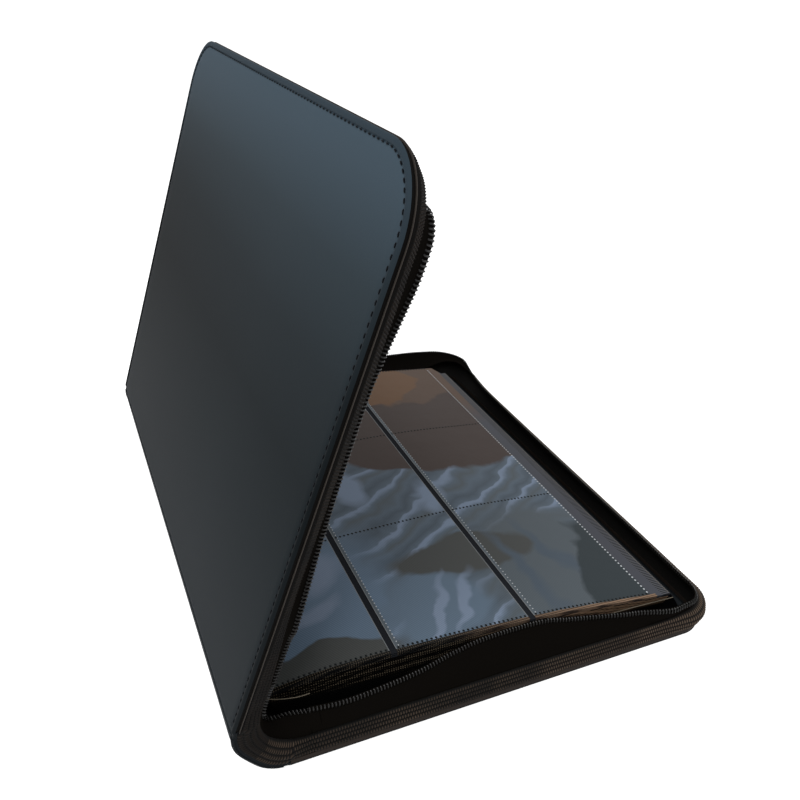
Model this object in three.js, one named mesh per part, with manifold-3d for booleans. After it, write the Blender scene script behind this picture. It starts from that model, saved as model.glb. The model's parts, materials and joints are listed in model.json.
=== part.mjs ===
// A zippered card binder, standing half open: the back cover lies flat, the front cover stands up.
// Sizes are in millimetres. Each cover has its own frame: x runs from the hinge to the fore edge, y along the
// spine, and z from the outer face inwards. The front cover is the back cover's mirror image.
import * as THREE from "three";
import { mergeVertices } from "three/addons/utils/BufferGeometryUtils.js";
import Module from "manifold-3d";

const wasm = await Module();
wasm.setup();

// The leaves: a woven backing with a film of pockets on each face, three columns by three rows
const LEAF_COUNT = 20;
const TURNING_LEAVES = 3;
const LEAF_WIDTH = 235;
const LEAF_CORNER = 2;
const LEAF_LIFT = 0.5;
const BACKING = 0.2;
const FILM = 0.12;
const FILM_GAP = 0.1;
const TOP_LEAF_START = -5;
const BOTTOM_LEAF_START = 3;
const POCKET_ROWS = 3;
const POCKET_ROW_PITCH = 94.5;
const STRIP_PITCH = 78.3;
const STRIP_COUNT = 2;
const STRIP_WIDTH = 3.6;
const FIRST_STRIP = 66.5;
const LEAF_NEAR_MARGIN = 2.6;
const LEAF_FAR_MARGIN = 3.1;

// The case
const SPINE_WIDTH = 40;
const LEAF_FORE_ROOM = 16;
const LEAF_NEAR_ROOM = 0.6;
const LEAF_FAR_ROOM = 16.5;
const OPEN_ANGLE = THREE.MathUtils.degToRad(73.5);
const CORNER_RADIUS = 30;
const TOUCH_GAP = 0.3;

// The layers of a cover, from the outside in
const SKIN = 0.8;
const BOARD = 1.6;
const LINING = 0.6;
const SKIN_TURN_IN = 1;
const RIM_ROUNDING = 1.5;
const STITCH_INSET = 6;
const STITCH_CHANNEL_WIDTH = 1.2;
const STITCH_CHANNEL_DEPTH = 0.5;

// The spine, whose skin is folded round a bead at each hinge
const FOLD_RADIUS = 1.9;
const FOLD_SEGMENTS = 20;
const SPINE_BULGE = 3;
const SPINE_STEPS = 10;
const SPINE_BOARD = 1.2;
const BINDING_STRIP_WIDTH = 10;
const BINDING_STRIP_THICKNESS = 1;

// The gusset: a ribbed band on the cover's edge, the zip tape inside it, and the zip's teeth on the tape
const BAND_HEIGHT = 8;
const BAND_THICKNESS = 1.6;
const BAND_INSET = 0.5;
const GUSSET_START = 12;
const TAPE_THICKNESS = 0.8;
const TAPE_LAP = 3;
const TAPE_UPRIGHT = 2.2;
const CHAIN_WIDTH = 2.2;
const CHAIN_BASE = 1.2;
const CHAIN_BACK = 0.9;
const TOOTH_REACH = 0.5;
const TOOTH_PITCH = 4.6;
const TOOTH_LENGTH = 1.7;
const TOOTH_ROOT = 0.2;
const END_STOP_LENGTH = 2.4;
const END_GUSSET_REACH = 10.5;
const END_GUSSET_WAIST = -1.5;
const END_GUSSET_STEPS = 12;
const END_TAPE_MARGIN = 0.06;
const END_TAPE_LAP = 1;
const NEAR_END_TAPE_LEAN = 10.5;
const FAR_END_TAPE_LEAN = -6.5;
const STRAIGHT_STEP = 14;
const CORNER_STEPS = 7;

// How far the slack tape leans over: sagging inwards at the near side, outwards at the far side
const NEAR_LEAN_AT_CORNER = 2.5;
const NEAR_LEAN_AT_SPINE = 6.5;
const NEAR_SAG = 9.3;
const NEAR_SAG_START = 30;
const NEAR_SAG_END_ROOM = -4;
const NEAR_LEAN_FADE_ROOM = [96, 31];
const FAR_LEAN = 8;
const FORE_LEAN = 2;

// The slider, parked at the far end of the spine, and its pull tab
const SLIDER_LENGTH = 14;
const SLIDER_HEIGHT = 11;
const SLIDER_PLATE = 1.2;
const SLIDER_CLEARANCE = 0.35;
const SLIDER_START = 14;
const SLIDER_POST_LENGTH = 2.6;
const SLIDER_POST_HEIGHT = 2.4;
const BRIDGE_LENGTH = 7.4;
const BRIDGE_WIDTH = 2.4;
const BRIDGE_WALL = 1.2;
const BRIDGE_OPENING = 1.9;
const TAB_LENGTH = 30;
const TAB_WIDTH = 8;
const TAB_THICKNESS = 1.2;
const TAB_WINDOW_LENGTH = 5;
const TAB_WINDOW_WIDTH = 5.2;

// Worked out from the sizes above
const COVER_THICKNESS = SKIN + TOUCH_GAP + BOARD + TOUCH_GAP + LINING;
const HINGE_CLEARANCE = FOLD_RADIUS + TOUCH_GAP;
const PARTING = FOLD_RADIUS + SPINE_WIDTH / 2;
const SPINE_TILT = OPEN_ANGLE / 2;
const BAND_BOTTOM = COVER_THICKNESS + TOUCH_GAP;
const BAND_TOP = BAND_BOTTOM + BAND_HEIGHT;
const TAPE_INSET = BAND_INSET + BAND_THICKNESS + TOUCH_GAP + TAPE_THICKNESS / 2;
const CHAIN_TOP = PARTING - CHAIN_BACK;
const CHAIN_BOTTOM = CHAIN_TOP - CHAIN_BASE;
const TAPE_TOP = CHAIN_BOTTOM - TOUCH_GAP;
const LEAF_THICKNESS = BACKING + 2 * (FILM + FILM_GAP);
const LEAF_PITCH = SPINE_WIDTH / 2 / LEAF_COUNT;
const LEAF_LENGTH = LEAF_NEAR_MARGIN + POCKET_ROWS * POCKET_ROW_PITCH + LEAF_FAR_MARGIN;
const LEAF_NEAR_EDGE = TAPE_INSET + NEAR_LEAN_AT_SPINE + NEAR_SAG + CHAIN_WIDTH / 2 + LEAF_NEAR_ROOM;
const COVER_WIDTH = TOP_LEAF_START + LEAF_WIDTH + LEAF_FORE_ROOM;
const CASE_LENGTH = LEAF_NEAR_EDGE + LEAF_LENGTH + LEAF_FAR_ROOM;
const NEAR_SAG_LENGTH = COVER_WIDTH - NEAR_SAG_START - NEAR_SAG_END_ROOM;
const NEAR_LEAN_FADE = NEAR_LEAN_FADE_ROOM.map((room) => COVER_WIDTH - room);
const FAR_CHAIN_LINE = CASE_LENGTH - TAPE_INSET + FAR_LEAN;
const FRONT_FAR_START = SLIDER_START + SLIDER_LENGTH + 2;
const EDGE_STRAIGHT = COVER_WIDTH - CORNER_RADIUS - GUSSET_START;
const EDGE_ARC = (CORNER_RADIUS * Math.PI) / 2;
const EDGE_FORE = CASE_LENGTH - 2 * CORNER_RADIUS;
const EDGE_LENGTH = 2 * EDGE_STRAIGHT + 2 * EDGE_ARC + EDGE_FORE;

const materials = {
  leather: new THREE.MeshStandardMaterial({ color: 0x2b3338, roughness: 0.45, metalness: 0 }),
  greyboard: new THREE.MeshStandardMaterial({ color: 0x8b8378, roughness: 0.9, metalness: 0 }),
  lining: new THREE.MeshStandardMaterial({ color: 0x101112, roughness: 0.75, metalness: 0 }),
  band: new THREE.MeshStandardMaterial({ color: 0x1b1815, roughness: 0.8, metalness: 0 }),
  tape: new THREE.MeshStandardMaterial({ color: 0x0c0c0d, roughness: 0.85, metalness: 0 }),
  teeth: new THREE.MeshStandardMaterial({ color: 0x15130f, roughness: 0.4, metalness: 0 }),
  metal: new THREE.MeshStandardMaterial({ color: 0x1d1d1f, roughness: 0.35, metalness: 1 }),
  backing: new THREE.MeshStandardMaterial({ color: 0x0e1013, roughness: 0.7, metalness: 0 }),
  film: new THREE.MeshStandardMaterial({ color: 0x4c5661, roughness: 0.1, metalness: 0 }),
};

function smooth(value, low, high) {
  return THREE.MathUtils.smoothstep(value, low, high);
}

function named(name, geometry, material) {
  const mesh = new THREE.Mesh(geometry, material);
  mesh.name = name;
  return mesh;
}

// Joins and cuts
function solidOf(geometry) {
  const bare = new THREE.BufferGeometry();
  bare.setAttribute("position", geometry.getAttribute("position").clone());
  if (geometry.index) bare.setIndex(geometry.index.clone());
  const merged = mergeVertices(bare, 1e-4);
  return new wasm.Manifold(
    new wasm.Mesh({
      numProp: 3,
      vertProperties: new Float32Array(merged.attributes.position.array),
      triVerts: new Uint32Array(merged.index.array),
    }),
  );
}

function geometryOf(solid) {
  const mesh = solid.getMesh();
  const geometry = new THREE.BufferGeometry();
  geometry.setAttribute("position", new THREE.BufferAttribute(mesh.vertProperties, mesh.numProp));
  geometry.setIndex(new THREE.BufferAttribute(mesh.triVerts, 1));
  return geometry;
}

function slab(shape, low, high, curveSegments = 10) {
  const geometry = new THREE.ExtrudeGeometry(shape, {
    depth: high - low,
    bevelEnabled: false,
    curveSegments,
  });
  return geometry.translate(0, 0, low);
}

function box(x, y, z) {
  const geometry = new THREE.BoxGeometry(x[1] - x[0], y[1] - y[0], z[1] - z[0]);
  return geometry.translate((x[0] + x[1]) / 2, (y[0] + y[1]) / 2, (z[0] + z[1]) / 2);
}

// The cover's outline, drawn in by inset on its three free edges, with the fore corners rounded
function coverShape(inset, hingeSide = HINGE_CLEARANCE) {
  const radius = CORNER_RADIUS - inset;
  const far = CASE_LENGTH - inset;
  const fore = COVER_WIDTH - inset;
  const shape = new THREE.Shape();
  shape.moveTo(hingeSide, inset);
  shape.lineTo(fore - radius, inset);
  shape.absarc(fore - radius, inset + radius, radius, -Math.PI / 2, 0, false);
  shape.lineTo(fore, far - radius);
  shape.absarc(fore - radius, far - radius, radius, 0, Math.PI / 2, false);
  shape.lineTo(hingeSide, far);
  shape.closePath();
  return shape;
}

// The skin is a shallow tray that holds the board, with a rolled rim and a sunk channel for the stitches
function coverSkin() {
  const rounded = new THREE.ExtrudeGeometry(coverShape(0), {
    depth: 2 * COVER_THICKNESS,
    bevelEnabled: true,
    bevelThickness: RIM_ROUNDING,
    bevelSize: RIM_ROUNDING,
    bevelOffset: -RIM_ROUNDING,
    bevelSegments: 3,
    curveSegments: 10,
  }).translate(0, 0, RIM_ROUNDING);
  const beyond = 4 * COVER_THICKNESS;
  const hingeSide = -HINGE_CLEARANCE;
  const channelOuter = solidOf(slab(coverShape(STITCH_INSET, hingeSide), -1, STITCH_CHANNEL_DEPTH));
  const channelInner = solidOf(
    slab(coverShape(STITCH_INSET + STITCH_CHANNEL_WIDTH, 2 * hingeSide), -2, 2 * STITCH_CHANNEL_DEPTH),
  );
  return geometryOf(
    solidOf(rounded)
      .subtract(solidOf(slab(coverShape(-1, 2 * hingeSide), COVER_THICKNESS, beyond)))
      .subtract(solidOf(slab(coverShape(SKIN_TURN_IN, hingeSide), SKIN, beyond)))
      .subtract(channelOuter.subtract(channelInner)),
  );
}

function coverBoard() {
  const bottom = SKIN + TOUCH_GAP;
  return slab(coverShape(SKIN_TURN_IN + TOUCH_GAP), bottom, bottom + BOARD);
}

function coverLining() {
  return slab(coverShape(SKIN_TURN_IN + TOUCH_GAP), COVER_THICKNESS - LINING, COVER_THICKNESS);
}

// A point of the cover's free edge, going round from the spine's near end to its far end, with its outward direction
function edgeAt(distance) {
  const centreX = COVER_WIDTH - CORNER_RADIUS;
  const marks = [EDGE_STRAIGHT, EDGE_ARC, EDGE_FORE, EDGE_ARC, EDGE_STRAIGHT];
  let along = distance;
  let part = 0;
  while (part < marks.length - 1 && along > marks[part]) {
    along -= marks[part];
    part += 1;
  }
  if (part === 0) return edgePoint(GUSSET_START + along, 0, -Math.PI / 2);
  if (part === 2) return edgePoint(COVER_WIDTH, CORNER_RADIUS + along, 0);
  if (part === 4) return edgePoint(centreX - along, CASE_LENGTH, Math.PI / 2);
  const angle = along / CORNER_RADIUS - (part === 1 ? Math.PI / 2 : 0);
  const centreY = part === 1 ? CORNER_RADIUS : CASE_LENGTH - CORNER_RADIUS;
  return edgePoint(centreX + CORNER_RADIUS * Math.cos(angle), centreY + CORNER_RADIUS * Math.sin(angle), angle);
}

function edgePoint(x, y, angle) {
  return {
    place: new THREE.Vector3(x, y, 0),
    out: new THREE.Vector3(Math.cos(angle), Math.sin(angle), 0),
    along: new THREE.Vector3(-Math.sin(angle), Math.cos(angle), 0),
  };
}

// The slack tape's lean at its top edge, over a point of the cover's edge
function leanAt(place) {
  const far = smooth(place.y, CORNER_RADIUS, CASE_LENGTH - CORNER_RADIUS);
  const fade = 1 - smooth(place.x, ...NEAR_LEAN_FADE);
  const turn = (Math.PI * (place.x - NEAR_SAG_START)) / NEAR_SAG_LENGTH;
  const sag = turn > 0 && turn < Math.PI ? NEAR_SAG * Math.sin(turn) ** 2 : 0;
  const near = NEAR_LEAN_AT_CORNER + (NEAR_LEAN_AT_SPINE - NEAR_LEAN_AT_CORNER) * fade + sag;
  const fore = smooth(place.x, COVER_WIDTH - 2 * CORNER_RADIUS, COVER_WIDTH);
  return new THREE.Vector3(FORE_LEAN * fore, near * (1 - far) + FAR_LEAN * far, 0);
}

// Where the stations of a strip along the edge lie: few on the straight sides, more round the corners
function stationsBetween(start, end, step = STRAIGHT_STEP) {
  const marks = [0, EDGE_STRAIGHT, EDGE_ARC, EDGE_FORE, EDGE_ARC, EDGE_STRAIGHT];
  const stations = [start];
  let from = 0;
  for (let part = 1; part < marks.length; part += 1) {
    const to = from + marks[part];
    const count = part % 2 ? Math.ceil(marks[part] / step) : CORNER_STEPS;
    for (let i = 1; i <= count; i += 1) {
      const at = from + (marks[part] * i) / count;
      if (at > start + 1 && at < end - 1) stations.push(at);
    }
    from = to;
  }
  stations.push(end);
  return stations;
}

// A closed strip swept along the cover's edge. levels(station) gives its middle line from the cover up, as
// points, and thickness is measured square to that line.
function stripAlongEdge(stations, levels, thickness) {
  const rings = stations.map((distance) => {
    const edge = edgeAt(distance);
    const middle = levels(edge);
    const side = middle.map((point, i) => {
      const up = middle[Math.min(i + 1, middle.length - 1)].clone().sub(middle[Math.max(i - 1, 0)]);
      return new THREE.Vector3().crossVectors(edge.along, up).normalize();
    });
    const outer = middle.map((point, i) => point.clone().addScaledVector(side[i], thickness / 2));
    const inner = middle.map((point, i) => point.clone().addScaledVector(side[i], -thickness / 2));
    return [...outer, ...inner.reverse()];
  });
  return loft(rings);
}

// A closed surface through rings of equal counts, with flat strips closing its two ends
function loft(rings) {
  const count = rings[0].length;
  const positions = rings.flat().flatMap((point) => [point.x, point.y, point.z]);
  const index = [];
  for (let r = 0; r + 1 < rings.length; r += 1) {
    for (let i = 0; i < count; i += 1) {
      const a = r * count + i;
      const b = r * count + ((i + 1) % count);
      index.push(a, a + count, b, b, a + count, b + count);
    }
  }
  const last = (rings.length - 1) * count;
  for (let i = 0; i + 1 < count / 2; i += 1) {
    const across = count - 1 - i;
    index.push(i, i + 1, across, i + 1, across - 1, across);
    index.push(last + i, last + across, last + i + 1, last + i + 1, last + across, last + across - 1);
  }
  const geometry = new THREE.BufferGeometry();
  geometry.setAttribute("position", new THREE.Float32BufferAttribute(positions, 3));
  geometry.setIndex(index);
  return geometry;
}

function leaningPoint(edge, inset, height, share) {
  const point = edge.place.clone().addScaledVector(edge.out, -inset);
  return point.addScaledVector(leanAt(edge.place), share).setZ(height);
}

// The ribbed band stands on the cover's edge, upright
function gussetBand(start, end) {
  const middle = BAND_INSET + BAND_THICKNESS / 2;
  const levels = (edge) => [
    leaningPoint(edge, middle, BAND_BOTTOM, 0),
    leaningPoint(edge, middle, BAND_TOP, 0),
  ];
  return stripAlongEdge(stationsBetween(start, end, 2 * STRAIGHT_STEP), levels, BAND_THICKNESS);
}

// The tape starts inside the band, leans over above it, and stands upright again at the teeth
function zipTape(start, end) {
  const leanFrom = BAND_TOP + TOUCH_GAP;
  const leanTo = TAPE_TOP - TAPE_UPRIGHT;
  const shares = [0, 0.12, 0.5, 0.88, 1];
  const levels = (edge) => [
    leaningPoint(edge, TAPE_INSET, BAND_TOP - TAPE_LAP, 0),
    ...shares.map((share, i) =>
      leaningPoint(edge, TAPE_INSET, THREE.MathUtils.lerp(leanFrom, leanTo, i / (shares.length - 1)), share),
    ),
    leaningPoint(edge, TAPE_INSET, TAPE_TOP, 1),
  ];
  return stripAlongEdge(stationsBetween(start, end), levels, TAPE_THICKNESS);
}

// The chain along the top edge of the tape, with its comb of teeth. phase shifts the comb by a share of its pitch,
// so that the two covers' teeth stand between each other when the case is shut.
function zipChain(start, end, phase) {
  const levels = (edge) => [
    leaningPoint(edge, TAPE_INSET, CHAIN_BOTTOM, 1),
    leaningPoint(edge, TAPE_INSET, CHAIN_TOP, 1),
  ];
  let solid = solidOf(stripAlongEdge(stationsBetween(start, end), levels, CHAIN_WIDTH));
  const top = PARTING + TOOTH_REACH;
  const bottom = CHAIN_TOP - TOOTH_ROOT;
  for (let at = start + (1 + phase) * TOOTH_PITCH; at < end - TOOTH_PITCH; at += TOOTH_PITCH) {
    const edge = edgeAt(at);
    const middle = leaningPoint(edge, TAPE_INSET, (bottom + top) / 2, 1);
    const tooth = new THREE.BoxGeometry(CHAIN_WIDTH - TOOTH_ROOT, TOOTH_LENGTH, top - bottom);
    tooth.rotateZ(Math.atan2(edge.out.y, edge.out.x)).translate(middle.x, middle.y, middle.z);
    solid = solid.add(solidOf(tooth));
  }
  return geometryOf(solid);
}

// A stop beside the end of the chain
function endStop(distance, direction) {
  const edge = edgeAt(distance);
  const at = leaningPoint(edge, TAPE_INSET, (TAPE_TOP + CHAIN_TOP) / 2, 1);
  const geometry = new THREE.BoxGeometry(END_STOP_LENGTH, CHAIN_WIDTH, CHAIN_TOP - TAPE_TOP + 1);
  at.addScaledVector(edge.along, direction * (END_STOP_LENGTH / 2 + TOUCH_GAP));
  return geometry.translate(at.x, at.y, at.z - 0.5);
}

// One half of the case in its own frame
function coverHalf(side, farStart, toothPhase) {
  const farEnd = EDGE_LENGTH - (farStart - GUSSET_START);
  const half = new THREE.Group();
  half.add(
    named(`${side}_cover_skin`, coverSkin(), materials.leather),
    named(`${side}_cover_board`, coverBoard(), materials.greyboard),
    named(`${side}_cover_lining`, coverLining(), materials.lining),
    named(`${side}_gusset_band`, gussetBand(0, EDGE_LENGTH), materials.band),
    named(`${side}_zip_tape`, zipTape(0, farEnd), materials.tape),
    named(`${side}_zip_teeth`, zipChain(0, farEnd, toothPhase), materials.teeth),
    named(`${side}_zip_near_stop`, endStop(0, -1), materials.metal),
  );
  return half;
}

// The spine's layers follow one shallow arc, bulging outwards between the hinges
function spineArc(depth, from, to) {
  const points = [];
  for (let i = 0; i <= SPINE_STEPS; i += 1) {
    const t = THREE.MathUtils.lerp(from, to, i / SPINE_STEPS);
    const off = (2 * t) / SPINE_WIDTH - 1;
    points.push(new THREE.Vector2(t, depth - FOLD_RADIUS - SPINE_BULGE * (1 - off * off)));
  }
  return points;
}

// A plate between two depths below the spine's outer face, in the spine's frame: x across the spine, z inwards
function spinePlate(outer, inner, from, to, near, far) {
  const shape = new THREE.Shape([...spineArc(outer, from, to), ...spineArc(inner, from, to).reverse()]);
  const geometry = new THREE.ExtrudeGeometry(shape, { depth: far - near, bevelEnabled: false });
  return geometry.rotateX(Math.PI / 2).translate(0, far, 0);
}

function foldBead(centre) {
  const bead = new THREE.CylinderGeometry(FOLD_RADIUS, FOLD_RADIUS, CASE_LENGTH, FOLD_SEGMENTS);
  return bead.translate(centre, CASE_LENGTH / 2, 0);
}

function spineSkin() {
  const skin = spinePlate(0, SKIN, 0, SPINE_WIDTH, 0, CASE_LENGTH);
  return geometryOf(solidOf(skin).add(solidOf(foldBead(0))).add(solidOf(foldBead(SPINE_WIDTH))));
}

// The inner edge of the gusset at an end of the spine, drawn in by lift: it is cut back to a waist, so that the
// covers' bands can close over it. trim leaves out that share of the edge at both ends.
function waistLine(lift, trim) {
  const low = new THREE.Vector2(HINGE_CLEARANCE, END_GUSSET_REACH + lift);
  const waist = new THREE.Vector2(SPINE_WIDTH / 2, END_GUSSET_WAIST + lift);
  const high = new THREE.Vector2(SPINE_WIDTH - HINGE_CLEARANCE, END_GUSSET_REACH + lift);
  const curve = new THREE.QuadraticBezierCurve(low, waist, high);
  const points = [];
  for (let i = 0; i <= END_GUSSET_STEPS; i += 1) {
    points.push(curve.getPoint(THREE.MathUtils.lerp(trim, 1 - trim, i / END_GUSSET_STEPS)));
  }
  return points;
}

// A plate across the spine's end, with an outline in the spine's frame, between two distances along the spine
function endPlate(outline, near, far) {
  const geometry = new THREE.ExtrudeGeometry(new THREE.Shape(outline), {
    depth: far - near,
    bevelEnabled: false,
  });
  return geometry.rotateX(Math.PI / 2).translate(0, far, 0);
}

function endGusset(depth, near) {
  const foot = spineArc(depth, HINGE_CLEARANCE, SPINE_WIDTH - HINGE_CLEARANCE);
  return endPlate([...foot, ...waistLine(0, 0).reverse()], near, near + BAND_THICKNESS);
}

// The zip tape goes round the end of the spine on the gusset's inner edge, with the chain on the tape's own edge
function endTape(near, far) {
  const inner = waistLine(TOUCH_GAP, END_TAPE_MARGIN);
  const outer = waistLine(TOUCH_GAP + TAPE_THICKNESS, END_TAPE_MARGIN);
  return endPlate([...inner, ...outer.reverse()], near, far);
}

function endChain(near) {
  const middle = TOUCH_GAP + TAPE_THICKNESS / 2;
  const inner = waistLine(middle - CHAIN_WIDTH / 2 + TOUCH_GAP, END_TAPE_MARGIN);
  const outer = waistLine(middle + CHAIN_WIDTH / 2, END_TAPE_MARGIN);
  return endPlate([...inner, ...outer.reverse()], near, near + CHAIN_BASE);
}

function spineGroup() {
  const inner = HINGE_CLEARANCE + TOUCH_GAP;
  const outer = SPINE_WIDTH - inner;
  const boardDepth = SKIN + TOUCH_GAP;
  const liningDepth = boardDepth + SPINE_BOARD + TOUCH_GAP;
  const bindingDepth = liningDepth + LINING + TOUCH_GAP;
  const bindingFrom = (SPINE_WIDTH - BINDING_STRIP_WIDTH) / 2;
  const bindingTo = bindingFrom + BINDING_STRIP_WIDTH;
  const leafFar = LEAF_NEAR_EDGE + LEAF_LENGTH;
  const edge = BAND_INSET;
  const nearWeb = BAND_INSET;
  const farWeb = CASE_LENGTH - BAND_INSET - BAND_THICKNESS;
  const nearTapeEdge = nearWeb + END_TAPE_LAP + NEAR_END_TAPE_LEAN;
  const farTapeEdge = farWeb + END_TAPE_LAP - FAR_END_TAPE_LEAN;
  const spine = new THREE.Group();
  spine.add(
    named("spine_skin", spineSkin(), materials.leather),
    named(
      "spine_board",
      spinePlate(boardDepth, boardDepth + SPINE_BOARD, inner, outer, edge, CASE_LENGTH - edge),
      materials.greyboard,
    ),
    named(
      "spine_lining",
      spinePlate(liningDepth, liningDepth + LINING, inner, outer, edge, CASE_LENGTH - edge),
      materials.lining,
    ),
    named(
      "leaf_binding_strip",
      spinePlate(
        bindingDepth,
        bindingDepth + BINDING_STRIP_THICKNESS,
        bindingFrom,
        bindingTo,
        LEAF_NEAR_EDGE,
        leafFar,
      ),
      materials.lining,
    ),
    named("near_end_gusset", endGusset(bindingDepth, nearWeb), materials.band),
    named("near_end_tape", endTape(nearWeb + END_TAPE_LAP, nearTapeEdge), materials.tape),
    named("near_end_chain", endChain(nearTapeEdge + TOUCH_GAP), materials.teeth),
    named("far_end_gusset", endGusset(bindingDepth, farWeb), materials.band),
    named("far_end_tape", endTape(farWeb + END_TAPE_LAP, farTapeEdge), materials.tape),
    named("far_end_chain", endChain(farTapeEdge + TOUCH_GAP), materials.teeth),
  );
  return spine;
}

// The slider straddles both chains at the far side; the post between its plates spreads them
function sliderBody() {
  const reach = CHAIN_WIDTH / 2 + SLIDER_CLEARANCE;
  const x = [SLIDER_START, SLIDER_START + SLIDER_LENGTH];
  const z = [PARTING - SLIDER_HEIGHT / 2, PARTING + SLIDER_HEIGHT / 2];
  const innerPlate = box(x, [FAR_CHAIN_LINE - reach - SLIDER_PLATE, FAR_CHAIN_LINE - reach], z);
  const outerFace = FAR_CHAIN_LINE + reach + SLIDER_PLATE;
  const outerPlate = box(x, [FAR_CHAIN_LINE + reach, outerFace], z);
  const postBottom = PARTING + TOOTH_REACH + TOUCH_GAP;
  const post = box(
    [x[1] - SLIDER_POST_LENGTH, x[1]],
    [FAR_CHAIN_LINE - reach - SLIDER_PLATE / 2, FAR_CHAIN_LINE + reach + SLIDER_PLATE / 2],
    [postBottom, postBottom + SLIDER_POST_HEIGHT],
  );
  const middle = (x[0] + x[1]) / 2;
  const bridge = box(
    [middle - BRIDGE_LENGTH / 2, middle + BRIDGE_LENGTH / 2],
    [outerFace - SLIDER_PLATE / 2, outerFace + BRIDGE_OPENING + BRIDGE_WALL],
    [PARTING - BRIDGE_WIDTH / 2, PARTING + BRIDGE_WIDTH / 2],
  );
  const opening = box(
    [middle - BRIDGE_LENGTH / 2 + BRIDGE_WALL, middle + BRIDGE_LENGTH / 2 - BRIDGE_WALL],
    [outerFace, outerFace + BRIDGE_OPENING],
    [PARTING - BRIDGE_WIDTH, PARTING + BRIDGE_WIDTH],
  );
  return geometryOf(
    solidOf(innerPlate)
      .add(solidOf(outerPlate))
      .add(solidOf(post))
      .add(solidOf(bridge).subtract(solidOf(opening))),
  );
}

// The pull tab: a rounded plate whose root bar passes under the slider's bridge
function pullTab() {
  const bar = TAB_THICKNESS;
  const radius = TAB_WIDTH / 2 - 1;
  const shape = new THREE.Shape();
  shape.moveTo(-bar / 2, -TAB_WIDTH / 2);
  shape.lineTo(TAB_LENGTH - radius, -TAB_WIDTH / 2);
  shape.absarc(TAB_LENGTH - radius, -TAB_WIDTH / 2 + radius, radius, -Math.PI / 2, 0, false);
  shape.absarc(TAB_LENGTH - radius, TAB_WIDTH / 2 - radius, radius, 0, Math.PI / 2, false);
  shape.lineTo(-bar / 2, TAB_WIDTH / 2);
  shape.closePath();
  const window = new THREE.Path();
  window.moveTo(bar / 2, -TAB_WINDOW_WIDTH / 2);
  window.lineTo(bar / 2, TAB_WINDOW_WIDTH / 2);
  window.lineTo(bar / 2 + TAB_WINDOW_LENGTH, TAB_WINDOW_WIDTH / 2);
  window.lineTo(bar / 2 + TAB_WINDOW_LENGTH, -TAB_WINDOW_WIDTH / 2);
  window.closePath();
  shape.holes.push(window);
  const geometry = slab(shape, -TAB_THICKNESS / 2, TAB_THICKNESS / 2, 5);
  const pivotY = FAR_CHAIN_LINE + CHAIN_WIDTH / 2 + SLIDER_CLEARANCE + SLIDER_PLATE + BRIDGE_OPENING / 2;
  return geometry.rotateX(Math.PI / 2).translate(SLIDER_START + SLIDER_LENGTH / 2, pivotY, PARTING);
}

// A leaf's place in the pile, counted from the top
function leafPlace(number) {
  const fromBottom = LEAF_COUNT - number;
  const left = THREE.MathUtils.mapLinear(number, 1, LEAF_COUNT, TOP_LEAF_START, BOTTOM_LEAF_START);
  return {
    left,
    width: LEAF_WIDTH - (left - TOP_LEAF_START),
    bottom: COVER_THICKNESS + LEAF_LIFT + fromBottom * LEAF_PITCH,
  };
}

function leafShape(width) {
  const r = LEAF_CORNER;
  const shape = new THREE.Shape();
  shape.moveTo(0, 0);
  shape.lineTo(width - r, 0);
  shape.absarc(width - r, r, r, -Math.PI / 2, 0, false);
  shape.lineTo(width, LEAF_LENGTH - r);
  shape.absarc(width - r, LEAF_LENGTH - r, r, 0, Math.PI / 2, false);
  shape.lineTo(0, LEAF_LENGTH);
  shape.closePath();
  return shape;
}

// The box over a woven strip of a leaf, between two heights, drawn out by margin
function stripBox(place, number, margin, low, high) {
  const middle = TOP_LEAF_START - place.left + FIRST_STRIP + number * STRIP_PITCH;
  const half = STRIP_WIDTH / 2 + margin;
  const y = [LEAF_NEAR_MARGIN + TOUCH_GAP - margin, LEAF_LENGTH - LEAF_FAR_MARGIN - TOUCH_GAP + margin];
  return solidOf(box([middle - half, middle + half], y, [low, high]));
}

// The film of pockets is open over the woven strips, where the cards go in from the side
function leafFilm(place, low) {
  let solid = solidOf(slab(leafShape(place.width), low, low + FILM, 3));
  for (let i = 0; i < STRIP_COUNT; i += 1) {
    solid = solid.subtract(stripBox(place, i, TOUCH_GAP, low - FILM, low + 2 * FILM));
  }
  return geometryOf(solid);
}

function leafBacking(place) {
  const low = FILM + FILM_GAP;
  let solid = solidOf(slab(leafShape(place.width), low, low + BACKING, 3));
  for (let i = 0; i < STRIP_COUNT; i += 1) {
    solid = solid.add(stripBox(place, i, 0, FILM_GAP, LEAF_THICKNESS - FILM_GAP));
  }
  return geometryOf(solid);
}

function leafGroup(number) {
  const place = leafPlace(number);
  const name = `leaf_${String(number).padStart(2, "0")}`;
  const leaf = new THREE.Group();
  leaf.position.set(place.left, LEAF_NEAR_EDGE, place.bottom);
  if (number > TURNING_LEAVES) {
    leaf.add(named(name, slab(leafShape(place.width), 0, LEAF_THICKNESS, 3), materials.film));
    return leaf;
  }
  leaf.add(
    named(`${name}_back_film`, leafFilm(place, 0), materials.film),
    named(`${name}_backing`, leafBacking(place), materials.backing),
    named(`${name}_front_film`, leafFilm(place, LEAF_THICKNESS - FILM), materials.film),
  );
  return leaf;
}

// The assembly: the origin is the middle of the back cover's outer face
const binder = new THREE.Group();
const backHinge = new THREE.Group();
backHinge.position.set(-COVER_WIDTH / 2, -CASE_LENGTH / 2, 0);
binder.add(backHinge);
backHinge.add(coverHalf("back", GUSSET_START, 0));

const spine = spineGroup();
spine.position.z = FOLD_RADIUS;
spine.rotation.y = -Math.PI / 2 - SPINE_TILT;
spine.scale.z = -1;
backHinge.add(spine);

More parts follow.
